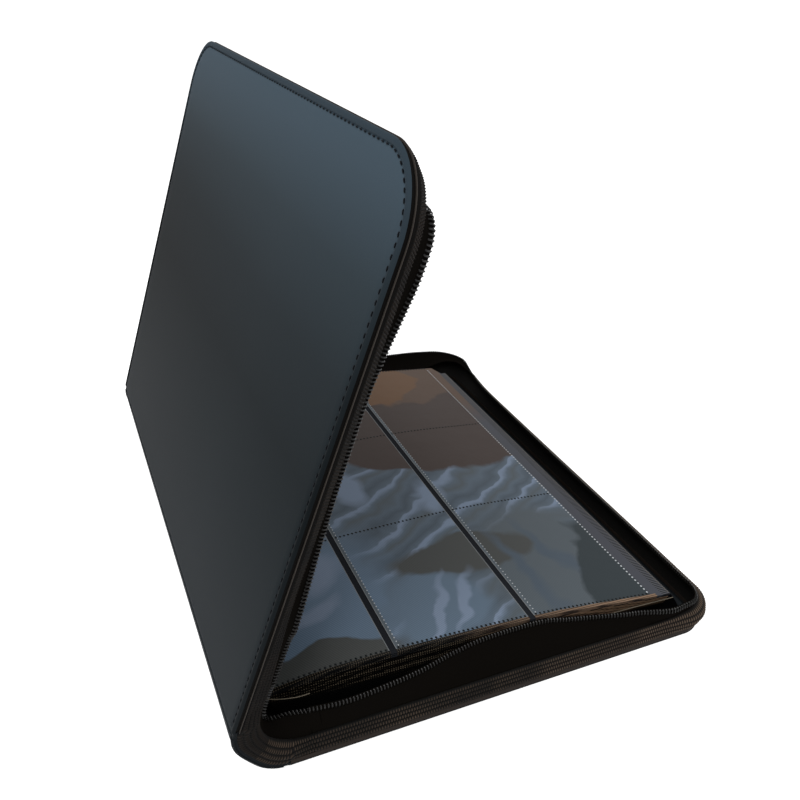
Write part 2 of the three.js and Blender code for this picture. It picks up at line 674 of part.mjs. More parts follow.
const front = coverHalf("front", FRONT_FAR_START, 0.5);
front.position.set(
  -SPINE_WIDTH * Math.sin(SPINE_TILT) - FOLD_RADIUS * Math.sin(OPEN_ANGLE),
  0,
  FOLD_RADIUS + SPINE_WIDTH * Math.cos(SPINE_TILT) + FOLD_RADIUS * Math.cos(OPEN_ANGLE),
);
front.rotation.y = -OPEN_ANGLE;
front.scale.z = -1;
backHinge.add(front);

backHinge.add(named("slider_body", sliderBody(), materials.metal));
backHinge.add(named("pull_tab", pullTab(), materials.metal));
for (let number = 1; number <= LEAF_COUNT; number += 1) backHinge.add(leafGroup(number));

export default binder;
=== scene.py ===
"""Looks of a zippered card binder that stands half open on its back cover.

Pieces are drawn in millimetres in the back cover's own frame: s from the hinge to the fore edge, y along the
spine from its near end, n from the outer face inwards. settle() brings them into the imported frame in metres.
The front cover's pieces are the same ones, mirrored across the middle of the spine.
"""
import json
import math

import bmesh
import bpy
from mathutils import Matrix, Vector


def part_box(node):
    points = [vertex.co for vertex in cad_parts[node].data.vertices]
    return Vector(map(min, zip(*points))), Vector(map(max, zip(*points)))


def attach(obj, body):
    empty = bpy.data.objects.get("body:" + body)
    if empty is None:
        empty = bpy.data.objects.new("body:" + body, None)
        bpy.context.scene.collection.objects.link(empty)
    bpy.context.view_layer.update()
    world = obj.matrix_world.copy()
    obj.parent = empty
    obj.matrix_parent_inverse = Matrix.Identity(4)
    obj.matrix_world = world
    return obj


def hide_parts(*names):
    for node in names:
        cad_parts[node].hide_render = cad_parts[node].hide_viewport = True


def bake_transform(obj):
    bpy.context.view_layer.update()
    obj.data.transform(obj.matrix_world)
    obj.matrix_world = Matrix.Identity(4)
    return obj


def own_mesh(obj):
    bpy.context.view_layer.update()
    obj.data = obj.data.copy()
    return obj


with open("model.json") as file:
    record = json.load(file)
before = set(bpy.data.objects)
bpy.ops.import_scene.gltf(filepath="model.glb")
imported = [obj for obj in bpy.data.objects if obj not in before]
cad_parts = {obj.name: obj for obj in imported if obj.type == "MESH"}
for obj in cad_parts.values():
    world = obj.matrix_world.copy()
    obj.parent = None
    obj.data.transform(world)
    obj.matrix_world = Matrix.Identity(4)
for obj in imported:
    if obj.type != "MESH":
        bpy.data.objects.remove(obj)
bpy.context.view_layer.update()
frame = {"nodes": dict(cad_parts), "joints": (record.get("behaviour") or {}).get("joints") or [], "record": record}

# Sizes that come from the frame
MM = 0.001
joints = {joint["name"]: joint for joint in frame["joints"]}
back_hinge = Vector(joints["spine_hinge"]["pos_m"])
front_hinge = Vector(joints["cover_hinge"]["pos_m"])
skin_low, skin_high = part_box("back_cover_skin")
WIDTH = (skin_high.x - back_hinge.x) / MM
LENGTH = (skin_high.y - skin_low.y) / MM
COVER = skin_high.z / MM
FOLD = back_hinge.z / MM
SPINE = (front_hinge - back_hinge).length / MM
page_low, page_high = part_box("leaf_01_backing")
PAGE_LEFT = (page_low.x - back_hinge.x) / MM
PAGE_RIGHT = (page_high.x - back_hinge.x) / MM
PAGE_NEAR = (page_low.y - skin_low.y) / MM
PAGE_FAR = (page_high.y - skin_low.y) / MM

# Leather: the rim is rolled round the edge, with a stitched channel inside it. Each step is how far the
# outline is drawn in and how far the face then lies above the table.
CORNER = 30.0
BACK_CORNER = 18.0
BACK_EXTRA = 5.0
RIM_START = 1.2
RIM_STEPS = (
    (0.15, 0.7), (0.3, 0.32), (0.45, 0.08), (0.5, 0.0), (0.5, 0.05), (0.45, 0.22), (0.35, 0.5), (0.25, 0.72),
    (0.7, 0.72), (0.35, 0.5), (0.7, 0.3), (2.4, 0.18), (8.0, 0.1),
)
LEATHER = 0.8
EDGE_LOW = 1.4
EDGE_HIGH = 3.9
PIPING_LOW = 3.0
PIPING_HEIGHT = 0.26
PIPING_OUT = 0.2
STITCH_INSET = 3.3
STITCH_DEPTH = 0.4
STITCH_PITCH = 4.0
STITCH_LENGTH = 2.3
STITCH_RADIUS = 0.36
HINGE_SPLIT = 2.0

# The plane that a cover is made of runs past the hinge first, and is cut there
PAST_HINGE = 40
CORNER_SEGMENTS = 14
FOLD_STEPS = 6
RIM_ENDS_BEFORE = 0.4
RIM_ENDS_AFTER = 0.2
CUT_INSET = 0.15
FRONT_CUT_INSET = 0.55
CUT_BEND = 2.6
CUT_LEAN = 0.2
CUT_DEPTH = 1.4
PIPING_DEPTH = 1.2

# Spine
SPINE_SWELL = 7.2
SPINE_FLATNESS = 3.2
SPINE_EDGE = ((0.3, 0.9), (0.1, 1.6), (0.3, 2.6), (1.6, 2.8), (1.6, 0.9))

# Ribbed band
BAND_START = 12.0
BAND_LOW = 4.0
BAND_HIGH = 11.9
BAND_FOOT_INSET = 0.5
BAND_TOP_INSET = 3.8
FRONT_FOOT_INSET = 2.4
FRONT_TOP_INSET = 7.0
FRONT_BAND_LOW = 5.6
FRONT_BAND_HIGH = 10.4
FRONT_EDGE_HIGH = 4.8
BAND_FLARE = 1.0
BAND_BULGE = 5.0
BAND_UNDER_COIL = 1.4
BAND_DEPTH = 1.1
SPINE_END_BULGE = 1.8
BAND_ROWS = 4
BAND_LOBE = 0.5
RIB_PITCH = 1.45
RIB_HEIGHT = 0.55
STEPS_IN_RIB = 4
PRESS_OUT = 25
PRESS_IN = 30
AWAY_RUN = 60
AWAY_LEFT = 30
END_BAND_LENGTH = 30

# Zip
COIL_PITCH = 1.8
COIL_WIDTH = 2.7
COIL_DEPTH = 1.3
COIL_WIRE = 0.36
TAPE_LAP = 3.0
TAPE_THICKNESS = 0.5
TAPE_PAST_COIL = 1.3
TAPE_OVERLAP = 5.0
TAPE_BEHIND_BAND = 0.5
TAPE_BEHIND_TOP = 0.4
TAPE_BEND_SHARE = 0.75
TAPE_BEND_RISE = 0.8
TAPE_TO_COIL = 0.3
TAPE_WAVE = 0.5
TAPE_WAVE_RUN = 9.0
TAPE_ARC_STEPS = 9
COIL_STEPS = 8
COIL_LEAN = 0.35
COIL_TILT = 0.25
WIRE_SIDES = 5
END_ZIP_STEPS = 40

# The line of the coil: how far inside the cover's edge it lies and how high, at distances round the edge
# from the spine's near end. The slack tape sags inwards at the near side and leans outwards at the far side.
BACK_COIL_LINE = (
    (12, 11.5, 19.3), (29, 10, 19.3), (47, 11, 19.3), (71, 14, 19.3), (88, 17.4, 20), (105, 19.2, 21.6),
    (125, 19.6, 22.2), (147, 19.2, 21.8), (160, 17, 20.4), (172, 15, 19.5), (193, 10, 19.3), (202, 8.3, 19.3),
    (220.6, 3.1, 19.6), (231, 3.6, 20), (243, 4.3, 20), (253, 5.6, 20), (267, 6.2, 20), (299, 5.9, 20),
    (499, 5, 20), (531, 1, 20), (561, -6, 20), (600, -13, 20), (740, -13, 19.8), (779, -5.2, 19.3),
    (795, -5.2, 19.3),
)
FRONT_COIL_LINE = (
    (12, 14, 19), (39, 13.5, 19), (46, 11.7, 19), (98, 17, 19), (151, 19.6, 19), (172, 18, 19),
    (187, 15.6, 19), (205, 13, 19), (222, 14, 19), (240, 16.5, 19), (258, 19, 19), (275, 18.5, 19),
    (300, 14, 19), (340, 9, 19), (400, 8, 19), (500, 7, 19), (553, 3, 19), (590, -5, 19.3),
    (630, -12, 19.5), (725, -12, 19.5), (764, -5.2, 19.3), (780, -5.2, 19.3),
)

# The coil round an end of the spine, as points from a cover's band to the middle of the spine
BACK_END_COIL = (
    (12, 11.5, 19.3), (4, 13.2, 19.2), (-2, 13.2, 19.3), (-6.6, 13.5, 19.7),
    (-9.2, 13.8, 21), (-9.9, 14, 21.8),
)
FAR_END_COIL = (
    (12, -5.2, 19.3), (4, -5.2, 19.3), (-2, -5.2, 19.4), (-6.6, -5.1, 19.8), (-9.2, -5, 21), (-9.9, -5, 21.8),
)
FRONT_END_COIL = (
    (12, 14, 19), (5, 15, 19.1), (-2, 15, 19.3), (-6.6, 14.6, 19.7), (-9.2, 14.2, 21), (-9.9, 14, 21.8),
)

# Leaves: height of the top leaf over the cover's lining, and where its pockets' edges lie
STACK = ((-5, 12), (30, 18), (80, 20.5), (150, 20.5), (216, 15.5), (232, 14.5))
LEAVES = 20
TURNING = 3
STRIP_PLACES = (61.5, 139.8)
STRIP_WIDTH = 3.5
FORE_WELD = 216.8
NEAR_EDGE_LEFT = 29.6
NEAR_EDGE_RIGHT = 15.4
NEAR_SLOPE = (NEAR_EDGE_RIGHT - NEAR_EDGE_LEFT) / (PAGE_RIGHT - PAGE_LEFT)
NEAR_MARGIN = 2.9
NEAR_WELD = PAGE_NEAR + NEAR_MARGIN
ROW_PITCH = 94.5
ROW_SLANT = 0.012
WELD_PITCH = 2.6
FRINGE_WIDTH = 5.4
LEAF_FLOOR = 0.3
LEAF_TOP_SHARE = 0.8
LEAF_STEP = 0.16
LEAF_THICKNESS = 0.36
BACKING_THICKNESS = 0.2
FILM_THICKNESS = 0.12
FILM_LIFT = 0.25
LIP_RADIUS = 0.22
LIP_STEPS = 16
WELD_LIFT = 0.36
COLUMN_DOT = (0.8, 0.7, 0.12)
FORE_DOT = (1.3, 1.1, 0.4)
EDGE_DOT = (1.0, 0.3, 0.1)
ROW_DOT = (1.4, 1.6, 0.4)
FAR_NOTCH = 11
SPREAD_AT_SPINE = 0.22
SPREAD_AT_FORE = -0.14
PLAIN_MESH = (5, 48)
TURNING_MESH = (4, 12)
FILM_LIP = ((186.5, 18.2, 13.4), (201.5, 17.6, 13.8), (217.5, 16.4, 14.4), (232.5, 15.0, 15.2))
FILM_CORNER = (
    (-6.2, 28.0, 17.0), (-1.5, 25.2, 17.2), (5.0, 22.9, 17.6), (11.0, 21.6, 18.0), (16.0, 21.4, 18.4),
)

# Looks
LEATHER_SHINE = 0.01
# Painted shade on the leather's rolled rim
RIM_SHADE = 0.55
LEATHER_TOP = 0.28


def tone(red, green, blue):
    """A colour given as it looks on a screen, 0 to 255."""
    shares = [value / 255 for value in (red, green, blue)]
    return tuple(share / 12.92 if share < 0.04 else ((share + 0.055) / 1.055) ** 2.4 for share in shares)


# The leather's painted sheen and shade by height: darker at middle heights, lighter towards the top
LEATHER_SHEEN_TONES = (
    (0.0, tone(40, 44, 47)), (0.18, tone(41, 45, 48)), (0.4, tone(33, 38, 41)), (0.53, tone(29, 34, 37)),
    (0.67, tone(37, 43, 47)), (0.8, tone(49, 58, 64)), (0.92, tone(64, 77, 87)), (1.0, tone(68, 83, 94)),
)
# Painted shade over the leather's far side
FAR_SHADE = 0.5
FAR_SHADE_START = -0.06
FAR_SHADE_END = 0.13
FAR_SHADE_HEIGHTS = ((0.0, 0.4), (0.3, 0.7), (0.5, 1.0), (0.7, 0.7), (0.85, 0.0))
FINE_BUMP = 0.0002
GROOVE_DEEP = 0.1
GROOVE_TOP = 0.4
RIB_TOP = 0.95
FORE_PALING = 0.62
LAYER_SCALE = 0.24
PILE_SHADE_LOW = 7.0
PILE_SHADE_HIGH = 10.0
# Tones of the painted reflection in the clear film
SHEEN_BLUE = tone(92, 105, 118)
SHEEN_PALE = tone(124, 139, 160)
SHEEN_DEEP = tone(78, 89, 100)
SHEEN_GREY = tone(86, 94, 100)
SHEEN_SHADE = tone(74, 76, 75)
SHEEN_SLATE = tone(52, 60, 64)
SHEEN_BROWN = tone(68, 57, 53)
SHEEN_WARM = tone(88, 70, 58)
SHEEN_TAN = tone(106, 77, 52)
MARGIN_TONE = tone(68, 70, 77)
FILM_EDGE_TONE = tone(122, 126, 128)
STREAK_TURN = -2.155
STREAK_SCALE = 0.0135
STREAK_TONES = (
    (0.0, SHEEN_BLUE), (0.2, SHEEN_DEEP), (0.42, SHEEN_BLUE), (0.6, SHEEN_GREY), (0.76, SHEEN_BLUE),
    (0.9, SHEEN_PALE), (0.96, SHEEN_PALE), (1.0, SHEEN_BLUE),
)
WEAVE_TURN = -0.5
POCKET_MARGIN = 1.0
FILM_CUT_INSET = 0.15
FILM_CUT_WIDTH = 0.22
WELD_HALF = 0.8
FAR_ROW = (215.0, 255.0)
NEAR_TAN_OFFSET = 5.8
NEAR_TAN_WIDTH = 5.0
NEAR_TAN_PAST = 4.0
RAGGED_COARSE = (0.02, 34.0)
RAGGED_FINE = (0.08, 6.0)

# The film's patches of painted reflection are ellipses on the leaf: center, half lengths, turn, softness of the
# border and tone
SHEEN_PATCHES = (
    ((30, 80), (48, 60), 0.0, 0.25, tone(102, 121, 141)),
    ((30, 28), (50, 15), 0.0, 0.05, SHEEN_SHADE),
    ((4, 21), (12, 5), 0.0, 0.05, tone(92, 108, 134)),
    ((46, 92), (15, 10), 0.3, 0.4, SHEEN_PALE),
    ((36, 66), (14, 5), 0.3, 0.4, SHEEN_PALE),
    ((92, 164), (9, 22), 0.1, 0.3, SHEEN_PALE),
    ((134, 138), (7, 15), -0.4, 0.35, SHEEN_PALE),
    ((96, 46), (30, 26), 0.2, 0.2, tone(98, 115, 132)),
    ((176, 62), (48, 50), 0.0, 0.2, SHEEN_GREY),
    ((130, 80), (46, 15), 0.0, 0.1, SHEEN_SHADE),
    ((158, 56), (5, 36), 0.25, 0.5, SHEEN_DEEP),
    ((182, 66), (4, 30), 0.3, 0.5, SHEEN_DEEP),
    ((214, 48), (56, 26), 1.25, 0.05, SHEEN_SLATE),
    ((96, 44), (3, 24), -0.5, 0.3, SHEEN_PALE),
    ((112, 46), (3, 22), -0.5, 0.3, SHEEN_PALE),
    ((175, 262), (112, 100), 0.0, 0.015, SHEEN_BROWN),
    ((170, 300), (90, 44), 0.0, 0.03, SHEEN_WARM),
    ((146, 292), (52, 34), 0.0, 0.03, SHEEN_TAN),
)

# Camera
CAMERA_PLACE = (-0.1913, -0.3813, 0.3218)
CAMERA_TURN = (59.34, -3.71, -23.8)
CAMERA_LENS = 35.29
CAMERA_SHIFT = (0.0093, 0.0233)

spine_along = (front_hinge - back_hinge).normalized()
spine_inward = Vector((spine_along.z, 0, -spine_along.x))
hinge = Vector((0, 0, FOLD))
fold_angle = math.acos(-spine_along.x)
middle = hinge + spine_along * SPINE / 2
TO_MODEL = Matrix.Translation((back_hinge.x, skin_low.y, 0)) @ Matrix.Scale(MM, 4)
MIRROR = (
    Matrix.Translation(2 * middle.dot(spine_along) * spine_along)
    @ Matrix.Scale(-1, 4, spine_along)
)


class Side:
    """One half of the case: the outline of its cover, and the line of its coil."""

    def __init__(self, name, width, corner, coil_line):
        self.name = name
        self.front = name == "front"
        self.body = f"{name}_cover"
        self.width = width
        self.corner = corner
        self.coil_line = coil_line
        self.straight = width - corner
        self.arc = math.pi * corner / 2
        self.fore = LENGTH - 2 * corner
        self.total = 2 * (self.straight + self.arc) + self.fore


def mix(a, b, share):
    return a + (b - a) * share


def ease(value, low, high):
    share = min(max((value - low) / (high - low), 0), 1)
    return share * share * (3 - 2 * share)


def follow(line, at):
    """The value at a place on a line of (place, value) pairs, with rounded bends."""
    for i in range(len(line) - 1):
        if at <= line[i + 1][0] or i == len(line) - 2:
            break
    before = line[max(i - 1, 0)]
    a = line[i]
    b = line[i + 1]
    after = line[min(i + 2, len(line) - 1)]
    span = b[0] - a[0]
    share = min(max((at - a[0]) / span, 0), 1)
    slope_a = (b[1] - before[1]) / (b[0] - before[0]) * span
    slope_b = (after[1] - a[1]) / (after[0] - a[0]) * span
    square = share * share
    cube = square * share
    return (
        (2 * cube - 3 * square + 1) * a[1]
        + (cube - 2 * square + share) * slope_a
        + (3 * square - 2 * cube) * b[1]
        + (cube - square) * slope_b
    )


def spine_point(t, y, n):
    return hinge + spine_along * t + spine_inward * n + Vector((0, y, 0))


def model_point(point, front=False):
    local = Vector(point)
    return TO_MODEL @ (MIRROR @ local if front else local)


def edge_at(side, distance):
    """A point of the cover's free edge, from the spine's near end round, and the outward direction there."""
    if distance < side.straight:
        return Vector((distance, 0, 0)), Vector((0, -1, 0))
    distance -= side.straight
    if distance < side.arc:
        angle = distance / side.corner - math.pi / 2
        out = Vector((math.cos(angle), math.sin(angle), 0))
        return Vector((side.straight, side.corner, 0)) + out * side.corner, out
    distance -= side.arc
    if distance < side.fore:
        return Vector((side.width, side.corner + distance, 0)), Vector((1, 0, 0))
    distance -= side.fore
    if distance < side.arc:
        angle = distance / side.corner
        out = Vector((math.cos(angle), math.sin(angle), 0))
        return Vector((side.straight, LENGTH - side.corner, 0)) + out * side.corner, out
    distance -= side.arc
    return Vector((side.straight - distance, LENGTH, 0)), Vector((0, 1, 0))


def coil_at(side, distance):
    """How far inside the edge the coil lies, and how high."""
    inset = follow([(at, inset) for at, inset, height in side.coil_line], distance)
    height = follow([(at, height) for at, inset, height in side.coil_line], distance)
    return inset, height


def pressed(side, distance):
    """How far the leaves press the band outwards and upwards, from 0 to 1. Only the back's band gives."""
    if side.front:
        return 0.0
    start = side.straight
    end = side.straight + 2 * side.arc + side.fore
    rising = ease(distance, start - PRESS_OUT, start + PRESS_IN)
    return rising * (1 - ease(distance, end - PRESS_IN, end + PRESS_OUT))


def away_from_spine(side, distance):
    """0 at the spine's two ends, 1 along the rest of the cover's edge."""
    last = side.total - AWAY_LEFT
    return ease(distance, BAND_START, BAND_START + AWAY_RUN) * (1 - ease(distance, last - AWAY_RUN, last))


def band_top(side, distance):
    """How far inside the edge the band's top lies, and how high."""
    if side.front:
        away = away_from_spine(side, distance)
        return mix(BAND_TOP_INSET, FRONT_TOP_INSET, away), mix(BAND_HIGH, FRONT_BAND_HIGH, away)
    share = pressed(side, distance)
    coil, height = coil_at(side, distance)
    under_coil = max(coil - BAND_UNDER_COIL, -BAND_FLARE)
    return mix(BAND_TOP_INSET, under_coil, share), mix(BAND_HIGH, height - 1, share)


def band_foot(side, distance):
    """How far inside the edge the band's foot lies, and how high."""
    if side.front:
        away = away_from_spine(side, distance)
        return mix(BAND_FOOT_INSET, FRONT_FOOT_INSET, away), mix(BAND_LOW, FRONT_BAND_LOW, away)
    return BAND_FOOT_INSET, BAND_LOW


# Mesh helpers
def mesh_object(name, points, faces):
    mesh = bpy.data.meshes.new(name)
    mesh.from_pydata([tuple(point) for point in points], [], faces)
    obj = bpy.data.objects.new(name, mesh)
    bpy.context.scene.collection.objects.link(obj)
    return obj


def grid_faces(rows, columns, closed=False):
    faces = []
    for r in range(rows - 1):
        for c in range(columns if closed else columns - 1):
            d = (c + 1) % columns
            faces.append((r * columns + c, r * columns + d, (r + 1) * columns + d, (r + 1) * columns + c))
    return faces


def sheet_object(name, rows, thickness):
    """A thin sheet through rows of points, with its real thickness on both sides of them."""
    obj = mesh_object(name, [point for row in rows for point in row], grid_faces(len(rows), len(rows[0])))
    solidify = obj.modifiers.new("thickness", "SOLIDIFY")
    solidify.thickness = thickness
    solidify.offset = 0
    apply_modifiers(obj)
    return obj


def point_values(obj, name, values):
    attribute = obj.data.attributes.new(name, "FLOAT", "POINT")
    for item, value in zip(attribute.data, values):
        item.value = value


def tube_object(name, rings):
    """A closed tube through rings of points."""
    count = len(rings[0])
    faces = grid_faces(len(rings), count, closed=True)
    last = (len(rings) - 1) * count
    faces.append(tuple(range(count)))
    faces.append(tuple(reversed(range(last, last + count))))
    return mesh_object(name, [point for ring in rings for point in ring], faces)


def only(obj):
    bpy.ops.object.select_all(action="DESELECT")
    obj.select_set(True)
    bpy.context.view_layer.objects.active = obj


def apply_modifiers(obj):
    only(obj)
    for modifier in list(obj.modifiers):
        bpy.ops.object.modifier_apply(modifier=modifier.name)


def face_outwards(obj):
    only(obj)
    bpy.ops.object.mode_set(mode="EDIT")
    bpy.ops.mesh.select_all(action="SELECT")
    bpy.ops.mesh.normals_make_consistent(inside=False)
    bpy.ops.object.mode_set(mode="OBJECT")


def settle(obj, material, front=False, smooth_angle=50):
    """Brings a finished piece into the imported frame, gives it its material and its smooth shading."""
    if front:
        obj.data.transform(MIRROR)
    obj.data.transform(TO_MODEL)
    face_outwards(obj)
    obj.data.materials.append(material)
    only(obj)
    bpy.ops.object.shade_smooth_by_angle(angle=math.radians(smooth_angle))
    return obj


def join(name, objects):
    only(objects[0])
    for obj in objects[1:]:
        obj.select_set(True)
    bpy.ops.object.join()
    objects[0].name = name
    return objects[0]


# Materials
def new_material(name, color, roughness, specular=0.3):
    material = bpy.data.materials.new(name)
    material.use_nodes = True
    shader = material.node_tree.nodes["Principled BSDF"]
    shader.inputs["Base Color"].default_value = (*color, 1)
    shader.inputs["Roughness"].default_value = roughness
    shader.inputs["Specular IOR Level"].default_value = specular
    return material


def add_node(tree, kind, **values):
    """A new node. Values are set on the node itself, or else on its input of that name."""
    node = tree.nodes.new(kind)
    for key, value in values.items():
        if hasattr(node, key):
            setattr(node, key, value)
        else:
            node.inputs[key.replace("_", " ")].default_value = value
    return node


def link(tree, source, output, target, socket):
    tree.links.new(source.outputs[output], target.inputs[socket])


def object_place(tree):
    return add_node(tree, "ShaderNodeTexCoord")


def in_millimetres(tree):
    """Object coordinates in the back cover's own millimetres."""
    scaled = add_node(
        tree, "ShaderNodeMapping", Scale=(1 / MM, 1 / MM, 1 / MM),
        Location=(-back_hinge.x / MM, -skin_low.y / MM, 0),
    )
    link(tree, object_place(tree), "Object", scaled, "Vector")
    return scaled


def split_axes(tree, source, output):
    parts = add_node(tree, "ShaderNodeSeparateXYZ")
    link(tree, source, output, parts, "Vector")
    return parts


def share_between(tree, source, output, low, high):
    """A value that rises from 0 to 1 while the source goes from low to high."""
    share = add_node(tree, "ShaderNodeMapRange")
    share.inputs["From Min"].default_value = low
    share.inputs["From Max"].default_value = high
    link(tree, source, output, share, "Value")
    return share


def combine(tree, operation, first, first_output, second, second_output):
    node = add_node(tree, "ShaderNodeMath", operation=operation)
    link(tree, first, first_output, node, 0)
    link(tree, second, second_output, node, 1)
    return node


def bands(tree, source, output, direction, scale, **values):
    wave = add_node(
        tree, "ShaderNodeTexWave", wave_type="BANDS", bands_direction=direction, Scale=scale, **values,
    )
    link(tree, source, output, wave, "Vector")
    return wave


def add_bump(tree, height_node, output, strength, distance):
    bump = add_node(tree, "ShaderNodeBump", Strength=strength, Distance=distance)
    link(tree, height_node, output, bump, "Height")
    link(tree, bump, "Normal", tree.nodes["Principled BSDF"], "Normal")


def grey(value):
    return (value, value, value)


def color_ramp(tree, source, output, stops):
    ramp = add_node(tree, "ShaderNodeValToRGB")
    elements = ramp.color_ramp.elements
    while len(elements) < len(stops):
        elements.new(0.5)
    for element, (place, color) in zip(elements, stops):
        element.position = place
        element.color = (*color, 1)
    link(tree, source, output, ramp, "Fac")
    return ramp


def blend_colors(tree, share, share_output, under, over):
    """Lays one colour over another. Each is a node with a colour output, or a plain colour."""
    layer = add_node(tree, "ShaderNodeMixRGB")
    link(tree, share, share_output, layer, "Fac")
    for color, socket in ((under, "Color1"), (over, "Color2")):
        if isinstance(color, tuple):
            layer.inputs[socket].default_value = (*color, 1)
        else:
            link(tree, color, "Color", layer, socket)
    return layer


def dim_color(tree, color, shade):
    """Multiplies a colour by a shade."""
    layer = add_node(tree, "ShaderNodeMixRGB", blend_type="MULTIPLY", Fac=1.0)
    link(tree, color, "Color", layer, "Color1")
    link(tree, shade, "Color", layer, "Color2")
    return layer


def finish_color(tree, color):
    link(tree, color, "Color", tree.nodes["Principled BSDF"], "Base Color")


def new_group(name, inputs, outputs):
    """An empty node group, and its input and output nodes. Sockets are pairs of a name and a kind."""
    tree = bpy.data.node_groups.new(name, "ShaderNodeTree")
    for label, kind in inputs:
        tree.interface.new_socket(label, in_out="INPUT", socket_type=kind)
    for label, kind in outputs:
        tree.interface.new_socket(label, in_out="OUTPUT", socket_type=kind)
    return tree, add_node(tree, "NodeGroupInput"), add_node(tree, "NodeGroupOutput")


def place_group(tree, group, **values):
    node = add_node(tree, "ShaderNodeGroup", node_tree=group)
    for label, value in values.items():
        node.inputs[label].default_value = value
    return node


def weave_group():
    """Slanting threads of a woven cloth."""
    inputs = (("Place", "NodeSocketVector"), ("Fineness", "NodeSocketFloat"))
    tree, given, result = new_group("weave", inputs, (("Threads", "NodeSocketFloat"),))
    threads = bands(tree, given, "Place", "DIAGONAL", 1.0)
    link(tree, given, "Fineness", threads, "Scale")
    link(tree, threads, "Fac", result, "Threads")
    return tree


def ribs_group():
    """A ribbed band's colour: painted shade in the grooves and a painted highlight on the ribs, darkened in random
    patches that fade out towards the fore edge.
    """
    tree, given, result = new_group("ribs", (("Rib", "NodeSocketColor"),), (("Color", "NodeSocketColor"),))
    raised = add_node(tree, "ShaderNodeAttribute", attribute_name="raised")
    # Painted shade in the grooves, by how far each point is raised
    groove = color_ramp(tree, raised, "Fac", ((GROOVE_DEEP, tone(8, 7, 6)), (GROOVE_TOP, tone(28, 23, 19))))
    rib_share = share_between(tree, raised, "Fac", GROOVE_TOP, RIB_TOP)
    color = add_node(tree, "ShaderNodeMixRGB")
    link(tree, rib_share, "Result", color, "Fac")
    link(tree, groove, "Color", color, "Color1")
    link(tree, given, "Rib", color, "Color2")
    place = object_place(tree)
    # Random darker patches, fading out towards the fore edge
    patches = add_node(tree, "ShaderNodeTexNoise", Scale=45.0, Detail=3.0)
    link(tree, place, "Object", patches, "Vector")
    paler_to_fore = share_between(tree, split_axes(tree, place, "Object"), "X", 0.0, 0.12)
    paler_to_fore.inputs["To Max"].default_value = FORE_PALING
    patches_and_paling = combine(tree, "ADD", patches, "Fac", paler_to_fore, "Result")
    patchy_paling = color_ramp(tree, patches_and_paling, "Value", ((0.35, grey(0.14)), (1.0, grey(1.0))))
    link(tree, dim_color(tree, color, patchy_paling), "Color", result, "Color")
    return tree


def leaf_edges_group():
    """Edges of a pile of film: wavy layers and rows of dots, on a flat face and on an upright one."""
    inputs = (("Place", "NodeSocketVector"), ("Waviness", "NodeSocketFloat"))
    labels = ("Flat Layers", "Flat Dots", "Upright Layers", "Upright Dots")
    outputs = [(label, "NodeSocketFloat") for label in labels]
    tree, given, result = new_group("leaf_edges", inputs, outputs)
    dashes = bands(tree, given, "Place", "X", 0.26)
    for label, direction in (("Flat", "Y"), ("Upright", "Z")):
        layers = bands(tree, given, "Place", direction, LAYER_SCALE)
        link(tree, given, "Waviness", layers, "Distortion")
        dots = combine(tree, "MULTIPLY", dashes, "Fac", layers, "Fac")
        link(tree, layers, "Fac", result, f"{label} Layers")
        link(tree, dots, "Value", result, f"{label} Dots")
    return tree


def leather_material():
    """Black leather with painted sheen and shade: its tone changes with the height, and painted shade darkens the
    far side and the rim.
    """
    material = new_material("leather", (0.03, 0.035, 0.04), 0.5, LEATHER_SHINE)
    tree = material.node_tree
    place = object_place(tree)
    grain = add_node(tree, "ShaderNodeTexVoronoi", Scale=1400.0)
    link(tree, place, "Object", grain, "Vector")
    add_bump(tree, grain, "Distance", 0.1, FINE_BUMP)
    parts = split_axes(tree, place, "Object")
    level = share_between(tree, parts, "Z", 0.0, LEATHER_TOP)
    color = color_ramp(tree, level, "Result", LEATHER_SHEEN_TONES)
    # Painted shade on the rolled rim
    rim = add_node(tree, "ShaderNodeAttribute", attribute_name="rim")
    color = dim_color(tree, color, color_ramp(tree, rim, "Fac", ((0.0, grey(1.0)), (1.0, grey(RIM_SHADE)))))
    # Painted shade over the far side, strongest at middle heights
    far_side = share_between(tree, parts, "Y", FAR_SHADE_START, FAR_SHADE_END)
    heights = color_ramp(tree, level, "Result", [(at, grey(share)) for at, share in FAR_SHADE_HEIGHTS])
    share = combine(tree, "MULTIPLY", far_side, "Result", heights, "Color")
    shade = color_ramp(tree, share, "Value", ((0.0, grey(1.0)), (1.0, grey(FAR_SHADE))))
    finish_color(tree, dim_color(tree, color, shade))
    return material


def cloth_material(name, color, fineness, shine=0.06):
    material = new_material(name, color, 0.85, shine)
    tree = material.node_tree
    weave = place_group(tree, WEAVE, Fineness=fineness)
    link(tree, object_place(tree), "Object", weave, "Place")
    add_bump(tree, weave, "Threads", 0.3, FINE_BUMP)
    return material


def band_material(name, rib):
    """Woven band: painted shade in the grooves between ribs, and a painted highlight on the ribs' threads."""
    material = new_material(name, (0.02, 0.016, 0.013), 0.75, 0.12)
    tree = material.node_tree
    finish_color(tree, place_group(tree, RIBS, Rib=(*rib, 1)))
    return material


def sheen_patch(tree, place, center, half, turn, soft):
    """A mask that is 1 inside an ellipse round a center, and 0 outside it."""
    local = add_node(
        tree, "ShaderNodeMapping", vector_type="TEXTURE", Location=(*center, 0), Rotation=(0, 0, turn),
        Scale=(*half, LENGTH * LENGTH),
    )
    link(tree, place, "Vector", local, "Vector")
    far = add_node(tree, "ShaderNodeVectorMath", operation="LENGTH")
    link(tree, local, "Vector", far, 0)
    return share_between(tree, far, "Value", 1 + soft, 1 - soft)


